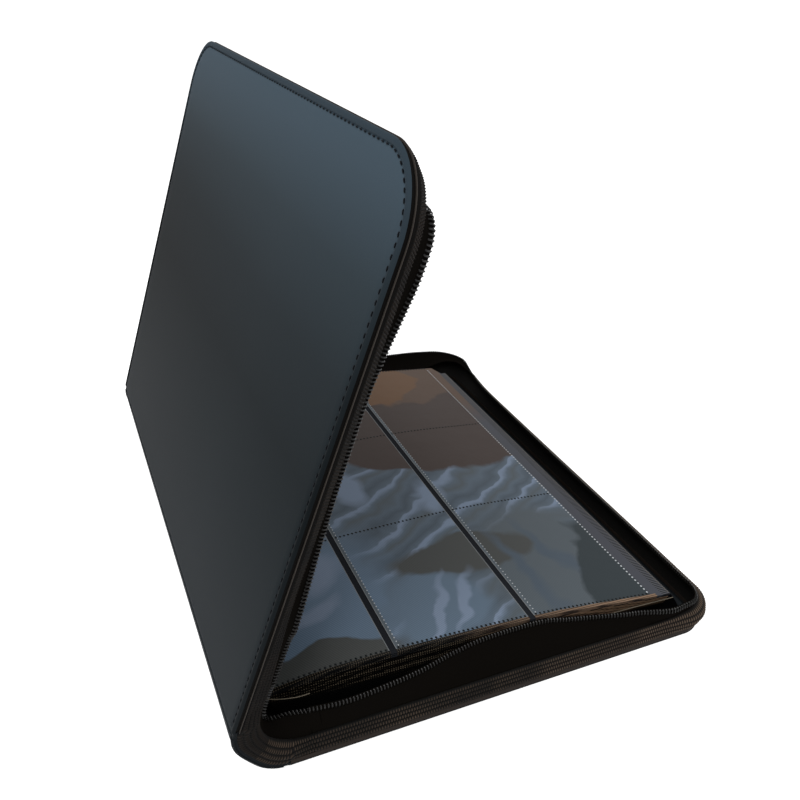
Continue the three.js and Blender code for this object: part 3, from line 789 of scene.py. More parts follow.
def ragged_place(tree, place, scale, amount):
    """Place shifted by noise, so that what is drawn on it gets wavy borders."""
    noise = add_node(tree, "ShaderNodeTexNoise", Scale=scale, Detail=2.0, Roughness=0.6)
    link(tree, place, "Vector", noise, "Vector")
    centered = add_node(tree, "ShaderNodeVectorMath", operation="SUBTRACT")
    centered.inputs[1].default_value = grey(0.5)
    link(tree, noise, "Color", centered, 0)
    scaled = add_node(tree, "ShaderNodeVectorMath", operation="SCALE")
    scaled.inputs["Scale"].default_value = amount
    link(tree, centered, "Vector", scaled, 0)
    moved = add_node(tree, "ShaderNodeVectorMath", operation="ADD")
    link(tree, place, "Vector", moved, 0)
    link(tree, scaled, "Vector", moved, 1)
    return moved


def turned_place(tree, place, turn):
    turned = add_node(tree, "ShaderNodeMapping", Rotation=(0, 0, turn))
    link(tree, place, "Vector", turned, "Vector")
    return turned


def sheen_color(tree, flat):
    """A painted reflection of the room in the clear film: wavy, sharp-edged streaks, with soft patches over them.
    """
    place = ragged_place(tree, ragged_place(tree, flat, *RAGGED_COARSE), *RAGGED_FINE)
    streaks = bands(
        tree, turned_place(tree, place, STREAK_TURN), "Vector", "X", STREAK_SCALE,
        wave_profile="SAW", Distortion=2.2, Detail=2.0, Detail_Scale=1.2,
    )
    color = color_ramp(tree, streaks, "Fac", STREAK_TONES)
    for center, half, turn, soft, sheen in SHEEN_PATCHES:
        mask = sheen_patch(tree, place, center, half, turn, soft)
        color = blend_colors(tree, mask, "Result", color, sheen)
    return color


def line_mask(tree, part, axis, center, half):
    """1 within a distance of a line, and 0 elsewhere."""
    mask = add_node(tree, "ShaderNodeMath", operation="COMPARE")
    mask.inputs[1].default_value = center
    mask.inputs[2].default_value = half
    link(tree, part, axis, mask, 0)
    return mask


def strip_edges(tree, parts, color):
    """The margins beside the strips between the pockets, and the pale cut edges of the film."""
    for x in STRIP_PLACES:
        margin = line_mask(tree, parts, "X", x + STRIP_WIDTH / 2 + POCKET_MARGIN, POCKET_MARGIN)
        color = blend_colors(tree, margin, "Value", color, SHEEN_GREY)
    for x in STRIP_PLACES:
        for side in (-1, 1):
            edge = line_mask(tree, parts, "X", x + side * (STRIP_WIDTH / 2 + FILM_CUT_INSET), FILM_CUT_WIDTH)
            color = blend_colors(tree, edge, "Value", color, FILM_EDGE_TONE)
    return color


def fore_margin(tree, flat, parts, color):
    """The welded margin along the fore edge, with a ticked fringe."""
    center = mix(FORE_WELD, PAGE_RIGHT, 0.5) + WELD_HALF
    outer = line_mask(tree, parts, "X", center, (PAGE_RIGHT - FORE_WELD) / 2)
    # The margin turns warm at the far row with the painted reflection
    margin = blend_colors(tree, share_between(tree, parts, "Y", *FAR_ROW), "Result", MARGIN_TONE, SHEEN_WARM)
    color = blend_colors(tree, outer, "Value", color, margin)
    ticks = bands(tree, flat, "Vector", "Y", LAYER_SCALE, Distortion=1.0)
    ticked = color_ramp(tree, ticks, "Fac", ((0.45, tone(30, 30, 32)), (0.9, tone(88, 90, 96))))
    return blend_colors(tree, line_mask(tree, parts, "X", PAGE_RIGHT, FRINGE_WIDTH), "Value", color, ticked)


def near_margin(tree, flat, parts, color):
    """The slanted near margin: rows of pale dots in the shade at the left, tan layers at the right."""
    slanted = add_node(tree, "ShaderNodeMath", operation="MULTIPLY_ADD")
    slanted.inputs[1].default_value = -NEAR_SLOPE
    link(tree, parts, "X", slanted, 0)
    link(tree, parts, "Y", slanted, 2)
    weld_start = NEAR_EDGE_LEFT - NEAR_SLOPE * PAGE_LEFT + NEAR_MARGIN
    near_line = line_mask(tree, slanted, "Value", weld_start - NEAR_TAN_OFFSET, NEAR_TAN_WIDTH)
    inside = line_mask(tree, parts, "X", 0.0, FORE_WELD + NEAR_TAN_PAST)
    near = combine(tree, "MULTIPLY", near_line, "Value", inside, "Value")
    edges = place_group(tree, LEAF_EDGES, Waviness=1.2)
    link(tree, flat, "Vector", edges, "Place")
    dotted = color_ramp(tree, edges, "Flat Dots", ((0.35, tone(8, 7, 6)), (0.75, tone(84, 76, 64))))
    layered = color_ramp(tree, edges, "Flat Layers", ((0.15, tone(60, 46, 36)), (0.45, tone(136, 111, 90))))
    margin = blend_colors(tree, share_between(tree, parts, "X", 90.0, 190.0), "Result", dotted, layered)
    return blend_colors(tree, near, "Value", color, margin)


def film_material():
    """Clear film over a black woven backing, with a painted reflection of a room: pale streaks, and brown at the
    far row.
    """
    material = new_material("film", SHEEN_BLUE, 0.3, 0.08)
    tree = material.node_tree
    flat = in_millimetres(tree)
    weave = bands(tree, turned_place(tree, flat, WEAVE_TURN), "Vector", "X", 0.28)
    threads = color_ramp(tree, weave, "Fac", ((0.2, grey(0.8)), (0.8, grey(1.0))))
    color = dim_color(tree, sheen_color(tree, flat), threads)
    parts = split_axes(tree, flat, "Vector")
    color = strip_edges(tree, parts, color)
    color = fore_margin(tree, flat, parts, color)
    finish_color(tree, near_margin(tree, flat, parts, color))
    ripple = add_node(tree, "ShaderNodeTexNoise", Scale=60.0, Detail=2.0)
    link(tree, object_place(tree), "Object", ripple, "Vector")
    add_bump(tree, ripple, "Fac", 0.2, 0.001)
    return material


def leaf_side_material():
    """Edges of the leaves: rows of pale weld dots in the shade at the left, tan layers at the right, and painted
    shade over the lower leaves.
    """
    material = new_material("leaf_side", tone(60, 50, 42), 0.5, 0.05)
    tree = material.node_tree
    place = in_millimetres(tree)
    edges = place_group(tree, LEAF_EDGES, Waviness=1.5)
    link(tree, place, "Vector", edges, "Place")
    dotted = color_ramp(tree, edges, "Upright Dots", ((0.4, tone(5, 4, 4)), (0.8, tone(80, 72, 60))))
    layered = color_ramp(tree, edges, "Upright Layers", ((0.2, tone(34, 26, 20)), (0.55, tone(118, 96, 77))))
    parts = split_axes(tree, place, "Vector")
    color = blend_colors(tree, share_between(tree, parts, "X", 100.0, 150.0), "Result", dotted, layered)
    # Painted shade over the lower leaves of the pile
    above = share_between(tree, parts, "Z", COVER + PILE_SHADE_LOW, COVER + PILE_SHADE_HIGH)
    finish_color(tree, blend_colors(tree, above, "Result", tone(4, 4, 4), color))
    return material


WEAVE = weave_group()
RIBS = ribs_group()
LEAF_EDGES = leaf_edges_group()
LEATHER_BLACK = leather_material()
CUT_EDGE = new_material("cut_edge", tone(36, 30, 26), 0.7, 0.1)
# The front's cut edge: the same cut edge in painted shade
SHADED_CUT_EDGE = new_material("shaded_cut_edge", tone(12, 11, 10), 0.8, 0.05)
PIPING = new_material("piping", tone(52, 47, 43), 0.6, 0.2)
THREAD = new_material("thread", tone(10, 14, 19), 0.6, 0.08)
# The rib tones hold a painted highlight; the front's band is the same band in painted shade
BAND = band_material("band", tone(104, 88, 74))
SHADED_BAND = band_material("shaded_band", tone(46, 38, 32))
TAPE = cloth_material("tape", tone(13, 11, 9), 700.0, 0.01)
COIL = new_material("coil", tone(14, 13, 12), 0.32, 0.3)
LINING = cloth_material("lining", tone(5, 5, 6), 800.0, 0.01)
METAL = new_material("black_metal", tone(28, 28, 30), 0.35, 0.35)
BACKING = cloth_material("backing", tone(30, 32, 36), 260.0)
FILM = film_material()
LEAF_SIDE = leaf_side_material()
FILM_EDGE = new_material("film_edge", tone(120, 112, 98), 0.5, 0.1)
WELD_PALE = new_material("weld_pale", tone(186, 190, 194), 0.4, 0.3)
WELD_DARK = new_material("weld_dark", tone(14, 18, 20), 0.5, 0.1)
BOARD = new_material("board", tone(120, 110, 98), 0.9, 0.1)


# Covers
def edge_distance(side, point):
    """How far inside the cover's outline a point lies."""
    past_side = point.x - side.straight
    past_end = max(side.corner - point.y, point.y - (LENGTH - side.corner))
    if past_side > 0 and past_end > 0:
        return side.corner - math.hypot(past_side, past_end)
    return min(side.width - point.x, point.y, LENGTH - point.y)


def rim_share(inset):
    """1 on the rolled rim, 0 on the face inside the stitches."""
    return 1 - ease(inset, STITCH_INSET - RIM_ENDS_BEFORE, STITCH_INSET + RIM_ENDS_AFTER)


def cover_leather(name, side):
    """The leather of a cover with its rolled rim and stitch channel, folded over at the hinge."""
    bpy.ops.mesh.primitive_plane_add(size=1)
    obj = bpy.context.object
    obj.name = name
    obj.scale = (side.width + PAST_HINGE, LENGTH, 1)
    obj.location = ((side.width - PAST_HINGE) / 2, LENGTH / 2, RIM_START)
    bpy.ops.object.transform_apply(location=True, rotation=False, scale=True)
    bpy.ops.object.mode_set(mode="EDIT")
    bm = bmesh.from_edit_mesh(obj.data)
    bpy.ops.mesh.select_all(action="DESELECT")
    for vert in bm.verts:
        vert.select = vert.co.x > 0
    bm.select_flush(True)
    bpy.ops.mesh.bevel(
        affect="VERTICES", offset=side.corner, offset_type="OFFSET", segments=CORNER_SEGMENTS, profile=0.5,
    )
    bpy.ops.mesh.select_all(action="SELECT")
    bpy.ops.mesh.flip_normals()
    height = RIM_START
    for inset, level in RIM_STEPS:
        bpy.ops.mesh.inset(thickness=inset, depth=height - level)
        height = level
    bpy.ops.mesh.select_all(action="SELECT")
    bpy.ops.mesh.bisect(plane_co=(0, 0, 0), plane_no=(1, 0, 0), clear_inner=True)
    bpy.ops.mesh.select_all(action="DESELECT")
    bm = bmesh.from_edit_mesh(obj.data)
    for edge in bm.edges:
        edge.select = all(abs(vert.co.x) < 0.001 for vert in edge.verts)
    bpy.ops.mesh.spin(steps=FOLD_STEPS, angle=-fold_angle, center=hinge, axis=(0, 1, 0))
    to_spine = spine_along * HINGE_SPLIT + spine_inward * (spine_depth(HINGE_SPLIT) + FOLD)
    bpy.ops.mesh.extrude_edges_move(TRANSFORM_OT_translate={"value": to_spine})
    bpy.ops.mesh.select_all(action="SELECT")
    bpy.ops.mesh.remove_doubles(threshold=0.001)
    bpy.ops.mesh.normals_make_consistent(inside=False)
    bpy.ops.object.mode_set(mode="OBJECT")
    solidify = obj.modifiers.new("thickness", "SOLIDIFY")
    solidify.thickness = LEATHER
    solidify.offset = -1
    apply_modifiers(obj)
    point_values(obj, "rim", [rim_share(edge_distance(side, vert.co)) for vert in obj.data.vertices])
    settle(obj, LEATHER_BLACK, side.front)
    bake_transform(obj)
    return obj


def stations(start, end, step):
    count = max(2, round((end - start) / step))
    return [mix(start, end, i / count) for i in range(count + 1)]


def edge_strip(name, side, outline):
    """A closed strip round the cover's edge, with an outline of (inset, height) points."""
    rings = []
    for distance in stations(0, side.total, 3):
        place, out = edge_at(side, distance)
        rings.append([place - out * inset + Vector((0, 0, height)) for inset, height in outline])
    return tube_object(name, rings)


def stitch(template_radius, length):
    bpy.ops.mesh.primitive_uv_sphere_add(segments=6, ring_count=4, radius=template_radius)
    obj = bpy.context.object
    obj.scale = (length / 2 / template_radius, 1, 1)
    bpy.ops.object.transform_apply(location=False, rotation=False, scale=True)
    return obj


def copies(name, template, places):
    """One mesh with a copy of the template at each place, which is a matrix."""
    points = []
    faces = []
    for place in places:
        base = len(points)
        points.extend(place @ vert.co for vert in template.data.vertices)
        faces.extend(tuple(base + i for i in face.vertices) for face in template.data.polygons)
    bpy.data.objects.remove(template)
    return mesh_object(name, points, faces)


def oriented(place, along, up):
    side = up.cross(along).normalized()
    turn = Matrix((along.normalized(), side, along.cross(side).normalized())).transposed()
    return Matrix.Translation(place) @ turn.to_4x4()


def cover_stitches(name, side):
    places = []
    for distance in stations(STITCH_PITCH, side.total - STITCH_PITCH, STITCH_PITCH):
        place, out = edge_at(side, distance)
        along = Vector((-out.y, out.x, 0))
        place = place - out * STITCH_INSET + Vector((0, 0, STITCH_DEPTH))
        places.append(oriented(place, along, Vector((0, 0, 1))))
    obj = copies(name, stitch(STITCH_RADIUS, STITCH_LENGTH), places)
    settle(obj, THREAD, side.front)
    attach(obj, side.body)


def band_section(foot, top, out, rib, row_shift, bulge):
    """The band's outline from foot to top, in rows of raised ribs, and back along its smooth inner face.

    Beside the points it gives how far each one is raised, from 0 in a groove to 1 on a rib.
    """
    steps = 4 * BAND_ROWS
    up = top - foot
    across = out - up * (out.dot(up) / up.length_squared)
    across.normalize()
    ring = []
    raised = []
    for i in range(steps + 1):
        share = i / steps
        row = min(int(share * BAND_ROWS), BAND_ROWS - 1)
        lobe = math.sqrt(abs(math.sin(math.pi * share * BAND_ROWS)))
        phase = rib + (row_shift if row % 2 == 1 else 0)
        wave = 0.5 + 0.5 * math.cos(2 * math.pi * phase)
        rib_lift = RIB_HEIGHT * (0.25 + 0.75 * lobe) * wave
        lift = BAND_LOBE * lobe + rib_lift + bulge * math.sin(math.pi * share)
        ring.append(foot + up * share + across * lift)
        raised.append((0.2 + 0.8 * lobe) * wave)
    for share in (1, 0.75, 0.5, 0.25, 0):
        ring.append(foot + up * share + across * (bulge * math.sin(math.pi * share) - BAND_DEPTH))
        raised.append(0.0)
    return ring, raised


def ribbed_band(name, line, length):
    """A band along a line, which gives foot, top, outward direction and bulge at a share of its length."""
    count = round(length / RIB_PITCH) * STEPS_IN_RIB
    rings = []
    values = []
    for i in range(count + 1):
        foot, top, out, bulge = line(i / count)
        ring, raised = band_section(foot, top, out, i / STEPS_IN_RIB, 0.5, bulge)
        rings.append(ring)
        values.extend(raised)
    obj = tube_object(name, rings)
    point_values(obj, "raised", values)
    return obj


def cover_band_line(side):
    def line(share):
        distance = mix(BAND_START, side.total - BAND_START, share)
        place, out = edge_at(side, distance)
        inset, height = band_top(side, distance)
        foot_inset, foot_height = band_foot(side, distance)
        foot = place - out * foot_inset + Vector((0, 0, foot_height))
        top = place - out * inset + Vector((0, 0, height))
        return foot, top, out, BAND_BULGE * pressed(side, distance)

    return line


def tape_rows(side, start, end, step=3.0):
    """Rows of points across the slack tape, from behind the band's top, over its edge and to the coil."""
    rows = []
    for distance in stations(start, end, step):
        place, out = edge_at(side, distance)
        coil, height = coil_at(side, distance)
        band, top = band_top(side, distance)
        foot = band_foot(side, distance)[0]
        low = mix(foot, band, 1 - TAPE_LAP / (top - BAND_LOW)) + BAND_DEPTH + TAPE_BEHIND_BAND
        low -= 0.5 * BAND_BULGE * pressed(side, distance)
        wave = TAPE_WAVE * math.sin(distance / TAPE_WAVE_RUN)
        first = place - out * low + Vector((0, 0, top - TAPE_LAP))
        edge = place - out * (band + BAND_DEPTH + TAPE_BEHIND_TOP) + Vector((0, 0, top))
        bent = mix(band, coil, TAPE_BEND_SHARE) + wave
        bend = place - out * bent + Vector((0, 0, top + TAPE_BEND_RISE))
        last = place - out * (coil + COIL_DEPTH / 2 + TAPE_TO_COIL) + Vector((0, 0, height + TAPE_PAST_COIL))
        arc = [arc_point(edge, bend, last, i / TAPE_ARC_STEPS) for i in range(TAPE_ARC_STEPS + 1)]
        rows.append([first, first.lerp(edge, 0.5)] + arc)
    return rows


def coil_object(name, route, ups):
    """A continuous flattened coil along a route. ups are the directions of the coil's long loops."""
    lengths = [0.0]
    for a, b in zip(route, route[1:]):
        lengths.append(lengths[-1] + (b - a).length)
    total = lengths[-1]
    steps = round(total / COIL_PITCH) * COIL_STEPS
    rings = []
    segment = 0
    for i in range(steps + 1):
        at = total * i / steps
        while segment < len(lengths) - 2 and at > lengths[segment + 1]:
            segment += 1
        share = (at - lengths[segment]) / (lengths[segment + 1] - lengths[segment])
        centre = route[segment].lerp(route[segment + 1], share)
        along = (route[segment + 1] - route[segment]).normalized()
        up = ups[segment].lerp(ups[segment + 1], share).normalized()
        side = along.cross(up).normalized()
        up = side.cross(along)
        angle = 2 * math.pi * i / COIL_STEPS
        wire = centre + up * (COIL_WIDTH / 2 * math.cos(angle)) + side * (COIL_DEPTH / 2 * math.sin(angle))
        wire += along * (COIL_LEAN * math.cos(angle))
        around = up * math.cos(angle) + side * math.sin(angle)
        rings.append([
            wire
            + around * (COIL_WIRE * math.cos(2 * math.pi * k / WIRE_SIDES))
            + along * (COIL_WIRE * math.sin(2 * math.pi * k / WIRE_SIDES))
            for k in range(WIRE_SIDES)
        ])
    return tube_object(name, rings)


def coil_route(side, start, end):
    route = []
    ups = []
    for distance in stations(start, end, 2.0):
        place, out = edge_at(side, distance)
        inset, height = coil_at(side, distance)
        route.append(place - out * inset + Vector((0, 0, height)))
        ups.append((Vector((0, 0, 1)) - out * COIL_TILT).normalized())
    return route, ups


def cover_cut_edge(side):
    """The leather's cut edge, between the rolled rim and the band."""
    inset = FRONT_CUT_INSET if side.front else CUT_INSET
    high = FRONT_EDGE_HIGH if side.front else EDGE_HIGH
    deep = inset + CUT_DEPTH
    edge = edge_strip(f"{side.name}_cut_edge", side, (
        (inset, EDGE_LOW), (inset, CUT_BEND), (inset + CUT_LEAN, high), (deep, high), (deep, EDGE_LOW),
    ))
    # The front's cut edge is drawn in painted shade
    settle(edge, SHADED_CUT_EDGE if side.front else CUT_EDGE, side.front)
    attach(edge, side.body)


def front_piping(side):
    """The thin piping along the front cover's cut edge."""
    top = PIPING_LOW + PIPING_HEIGHT
    shoulder = -PIPING_OUT * 0.7
    piping = edge_strip("front_piping", side, (
        (PIPING_DEPTH, PIPING_LOW), (shoulder, PIPING_LOW), (-PIPING_OUT, PIPING_LOW + PIPING_HEIGHT / 2),
        (shoulder, top), (PIPING_DEPTH, top),
    ))
    settle(piping, PIPING, True)
    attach(piping, side.body)


def cover_band(side):
    band = ribbed_band(f"{side.name}_band", cover_band_line(side), side.total - 2 * BAND_START)
    settle(band, SHADED_BAND if side.front else BAND, side.front, 60)
    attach(band, side.body)
    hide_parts(f"{side.name}_gusset_band")
    return band


def cover_tape(side):
    rows = tape_rows(side, BAND_START, side.total - BAND_START)
    tape = sheet_object(f"{side.name}_tape", rows, TAPE_THICKNESS)
    settle(tape, TAPE, side.front)
    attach(tape, side.body)
    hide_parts(f"{side.name}_zip_tape")


def cover_coil(side):
    coil = coil_object(f"{side.name}_coil", *coil_route(side, BAND_START, side.total - BAND_START))
    settle(coil, COIL, side.front)
    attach(coil, side.body)
    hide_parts(f"{side.name}_zip_teeth")


def cover_half(side):
    leather = cover_leather(f"{side.name}_leather", side)
    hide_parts(f"{side.name}_cover_skin")
    cover_cut_edge(side)
    if side.front:
        front_piping(side)
    cover_stitches(f"{side.name}_stitches", side)
    band = cover_band(side)
    cover_tape(side)
    cover_coil(side)


# Spine
def spine_depth(t):
    """Where the swollen spine's outer face lies, at a place across it."""
    return -FOLD - SPINE_SWELL * (1 - abs(2 * t / SPINE - 1) ** SPINE_FLATNESS)


def rim_profile():
    """The leather's section at an end of the spine, as (distance from the end, height of the face) pairs."""
    profile = [(0.0, RIM_START)]
    distance = 0.0
    for inset, level in RIM_STEPS[:-1]:
        distance += inset
        profile.append((distance, level))
    return profile


def spine_leather():
    near = rim_profile()
    ends = near + [(LENGTH - distance, level) for distance, level in reversed(near)]
    rows = []
    for t in stations(HINGE_SPLIT, SPINE - HINGE_SPLIT, 1.5):
        rows.append([spine_point(t, y, spine_depth(t) + level) for y, level in ends])
    obj = mesh_object("spine_leather", [p for row in rows for p in row], grid_faces(len(rows), len(ends)))
    solidify = obj.modifiers.new("thickness", "SOLIDIFY")
    solidify.thickness = LEATHER
    solidify.offset = 0
    apply_modifiers(obj)
    insets = [min(vert.co.y, LENGTH - vert.co.y) for vert in obj.data.vertices]
    point_values(obj, "rim", [rim_share(inset) for inset in insets])
    settle(obj, LEATHER_BLACK)
    return obj


def spine_stitches():
    places = []
    for y in (STITCH_INSET, LENGTH - STITCH_INSET):
        for t in stations(4, SPINE - 4, STITCH_PITCH):
            before = spine_point(t - 1, y, spine_depth(t - 1))
            along = spine_point(t + 1, y, spine_depth(t + 1)) - before
            place = spine_point(t, y, spine_depth(t) + STITCH_DEPTH)
            places.append(oriented(place, along, spine_inward))
    obj = copies("spine_stitches", stitch(STITCH_RADIUS, STITCH_LENGTH), places)
    settle(obj, THREAD)
    return obj


def flatten_with_spine(obj):
    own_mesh(obj)


def at_far_end(points):
    """The same points, mirrored to the spine's other end."""
    return [Vector((point.x, LENGTH - point.y, point.z)) for point in points]


def arc_point(low, bend, high, share):
    return low.lerp(bend, share).lerp(bend.lerp(high, share), share)


def spine_end_line(near):
    """The band's line round an end of the spine, from the back cover to the middle of the spine."""
    y_foot = BAND_FOOT_INSET + 0.3
    y_top = BAND_TOP_INSET

    def line(share):
        foot_depth = COVER - FOLD
        if share < 0.4:
            foot = Vector((mix(BAND_START, 1, share / 0.4), y_foot, BAND_LOW))
        else:
            t = mix(1, SPINE / 2, (share - 0.4) / 0.6)
            inner = min(spine_depth(t) + LEATHER + 1.2, foot_depth)
            foot = spine_point(t, y_foot, inner)
        low = Vector((BAND_START, y_top, BAND_HIGH))
        bend = Vector((-1.5, y_top, 11.0))
        top = arc_point(low, bend, spine_point(SPINE / 2, y_top, 3.5), share)
        out = Vector((0, -1, 0))
        if not near:
            foot.y = LENGTH - foot.y
            top.y = LENGTH - top.y
            out = Vector((0, 1, 0))
        return foot, top, out, SPINE_END_BULGE * ease(share, 0, 0.5)

    return line


def spine_edge(near):
    """The turned-in edge of the leather round an end of the spine, between the leather's lip and the band."""
    rings = []
    for i in range(FOLD_STEPS + 1):
        ray = Matrix.Rotation(fold_angle * i / FOLD_STEPS, 3, "Y") @ Vector((0, 0, -1))
        rings.append([hinge + ray * (FOLD - level) + Vector((0, inset, 0)) for inset, level in SPINE_EDGE])
    for t in stations(1, SPINE - 1, 2):
        rings.append([spine_point(t, inset, spine_depth(t) + level) for inset, level in SPINE_EDGE])
    rings.extend([MIRROR @ point for point in ring] for ring in reversed(rings[:FOLD_STEPS + 1]))
    if not near:
        rings = [at_far_end(ring) for ring in rings]
    obj = tube_object("spine_near_edge" if near else "spine_far_edge", rings)
    # The whole turned-in edge takes the rim's painted shade
    point_values(obj, "rim", [1.0] * len(obj.data.vertices))
    settle(obj, LEATHER_BLACK)
    flatten_with_spine(obj)
    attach(obj, "spine")


def spine_end(side, near):
    front = side == "front"
    end = "near" if near else "far"
    band = ribbed_band(f"{side}_{end}_end_band", spine_end_line(near), END_BAND_LENGTH)
    settle(band, SHADED_BAND if front else BAND, front, 60)
    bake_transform(band)
    return band


def rounded_route(points, count):
    """A route with rounded bends through a few points."""
    route = []
    for i in range(count + 1):
        at = i / count * (len(points) - 1)
        route.append(Vector([follow([(k, p[axis]) for k, p in enumerate(points)], at) for axis in range(3)]))
    return route


# Leaves
def leaf_height(number, x):
    """Height of a leaf's middle over the table. Leaves are counted from the top of the pile."""
    share = (LEAVES - number + LEAF_TOP_SHARE) / LEAVES
    return COVER + LEAF_FLOOR + follow(STACK, x) * share


def near_edge(x, spread=0.0):
    """The leaves' slanted near edge. Spread moves it outwards at the spine and inwards at the fore edge."""
    slanted = NEAR_EDGE_LEFT + NEAR_SLOPE * (x - PAGE_LEFT)
    return slanted - spread * mix(SPREAD_AT_SPINE, SPREAD_AT_FORE, ease(x, 60, 210))


def far_edge(x):
    """The leaves' far edge, with a notch at the fore corner."""
    return PAGE_FAR - FAR_NOTCH * ease(x, FORE_WELD + 5, FORE_WELD + 8)


def leaf_rows(number, left, right, steps, lift=0.0, spread=0.0):
    across = stations(left, right, steps[0])
    rows = []
    for share in stations(0, 1, steps[1] / LENGTH):
        row = []
        for x in across:
            y = mix(near_edge(x, spread), far_edge(x), share)
            row.append(Vector((x, y, leaf_height(number, x) + lift)))
        rows.append(row)
    return rows


def leaf_left(number):
    return mix(PAGE_LEFT, 3, (number - 1) / (LEAVES - 1))


def plain_leaf(number):
    name = f"leaf_{number:02d}"
    right = PAGE_RIGHT - LEAF_STEP * (number - 1)
    rows = leaf_rows(number, leaf_left(number), right, PLAIN_MESH, 0.0, number - 1)
    leaf = sheet_object(f"{name}_sheet", rows, LEAF_THICKNESS)
    settle(leaf, LEAF_SIDE)
    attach(leaf, "page_block")
    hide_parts(name)


def film_lip(name, points):
    """The pale edge of a lower film that curls out from the pile."""
    angles = [math.pi * k / 3 for k in range(6)]
    outline = [Vector((0, LIP_RADIUS * math.cos(angle), LIP_RADIUS * math.sin(angle))) for angle in angles]
    rings = [[point + corner for corner in outline] for point in rounded_route(points, LIP_STEPS)]
    obj = tube_object(name, rings)
    settle(obj, FILM_EDGE)
    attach(obj, "page_block")


def turning_leaf(number, body):
    name = f"leaf_{number:02d}"
    left = leaf_left(number)
    rows = leaf_rows(number, left, PAGE_RIGHT, TURNING_MESH, 0.0, number - 1)
    backing = sheet_object(f"{name}_back", rows, BACKING_THICKNESS)
    settle(backing, BACKING)
    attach(backing, body)
    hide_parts(f"{name}_backing", f"{name}_back_film")
    half = STRIP_WIDTH / 2
    edges = [left, *[x + side * half for x in STRIP_PLACES for side in (-1, 1)], PAGE_RIGHT]
    panels = []
    for i in range(3):
        panel = leaf_rows(number, edges[2 * i], edges[2 * i + 1], TURNING_MESH, FILM_LIFT, number - 1)
        panels.append(sheet_object(f"{name}_pocket_{i + 1}", panel, FILM_THICKNESS))
    film = join(f"{name}_film", panels)
    settle(film, FILM)
    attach(film, body)
    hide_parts(f"{name}_front_film")


def weld_line(name, points, pitch, material, size):
    """A row of weld dots on the top leaf, along lines from one point to another."""
    places = []
    for a, b in points:
        count = round((b - a).length / pitch)
        for i in range(count):
            at = a.lerp(b, (i + 0.5) / count)
            at.z = leaf_height(1, at.x) + WELD_LIFT
            places.append(oriented(at, b - a, Vector((0, 0, 1))))
    bpy.ops.mesh.primitive_uv_sphere_add(segments=8, ring_count=4, radius=0.5)
    template = bpy.context.object
    template.scale = size
    bpy.ops.object.transform_apply(location=False, rotation=False, scale=True)
    obj = copies(name, template, places)
    settle(obj, material)
    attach(obj, "top_leaf")


def welds():
    far = NEAR_WELD + 3 * ROW_PITCH
    columns = [x + STRIP_WIDTH / 2 + 2 for x in STRIP_PLACES]
    lines = [(Vector((x, near_edge(x) + NEAR_MARGIN, 0)), Vector((x, far, 0))) for x in columns]
    weld_line("column_welds", lines, WELD_PITCH, WELD_PALE, COLUMN_DOT)
    fore = [(Vector((FORE_WELD, near_edge(FORE_WELD) + NEAR_MARGIN, 0)), Vector((FORE_WELD, far, 0)))]
    weld_line("fore_weld", fore, WELD_PITCH, WELD_PALE, FORE_DOT)
    outer = PAGE_RIGHT - 0.8
    edge = [(Vector((outer, near_edge(outer) + 1, 0)), Vector((outer, far_edge(outer) - 1, 0)))]
    weld_line("edge_weld", edge, WELD_PITCH / 2, FILM_EDGE, EDGE_DOT)
    edges = [PAGE_LEFT + 2, *[x + side for x in STRIP_PLACES for side in (-2, 2)], FORE_WELD]
    rows = []
    for row in range(4):
        for i in range(3):
            ends = []
            for x in (edges[2 * i], edges[2 * i + 1]):
                y = NEAR_WELD + row * ROW_PITCH + ROW_SLANT * x if row else near_edge(x) + NEAR_MARGIN
                ends.append(Vector((x, y, 0)))
            rows.append(ends)
    weld_line("row_welds", rows, WELD_PITCH, WELD_DARK, ROW_DOT)


def build_leaves():
    turning = ("top_leaf", "second_leaf", "third_leaf")
    for number in range(1, LEAVES + 1):
        if number <= TURNING:
            turning_leaf(number, turning[number - 1])
        else:
            plain_leaf(number)
    welds()
    film_lip("film_corner", FILM_CORNER)
    film_lip("film_fore_lip", FILM_LIP)


def end_zip(side, near):
    """Half of the coil and of its tape round an end of the spine."""
    front = side == "front"
    end = "near" if near else "far"
    points = FAR_END_COIL
    if near:
        points = FRONT_END_COIL if front else BACK_END_COIL
    route = rounded_route(points, END_ZIP_STEPS)
    shares = [i / END_ZIP_STEPS for i in range(END_ZIP_STEPS + 1)]
    ups = [Vector((0.2, 0, 1)).lerp(Vector((1, 0, 0.1)), share).normalized() for share in shares]
    line = spine_end_line(True)
    rows = []
    for i, share in enumerate(shares):
        foot, top, out, bulge = line(share)
        start = top.lerp(foot, 0.3) + Vector((0, BAND_DEPTH + 0.6, 0))
        bend = top.lerp(route[i], 0.5) + Vector((0, 1, 0)) + (route[i] - top).cross(Vector((0, 1, 0))) * 0.05
        rows.append([arc_point(start, bend, route[i] - ups[i] * 0.7, k / 8) for k in range(9)])
    if not near:
        rows = [at_far_end(row) for row in rows]
        route = at_far_end(route)
    rows.insert(0, [point + Vector((TAPE_OVERLAP, 0, 0)) for point in rows[0]])
    coil = coil_object(f"{side}_{end}_end_coil", route, ups)
    settle(coil, COIL, front)
    tape = sheet_object(f"{side}_{end}_end_tape", rows, TAPE_THICKNESS)
    settle(tape, TAPE, front)
    start = model_point((BAND_START, 0, BAND_LOW), front)
    for obj in (coil, tape):
        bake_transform(obj)
    return coil, tape


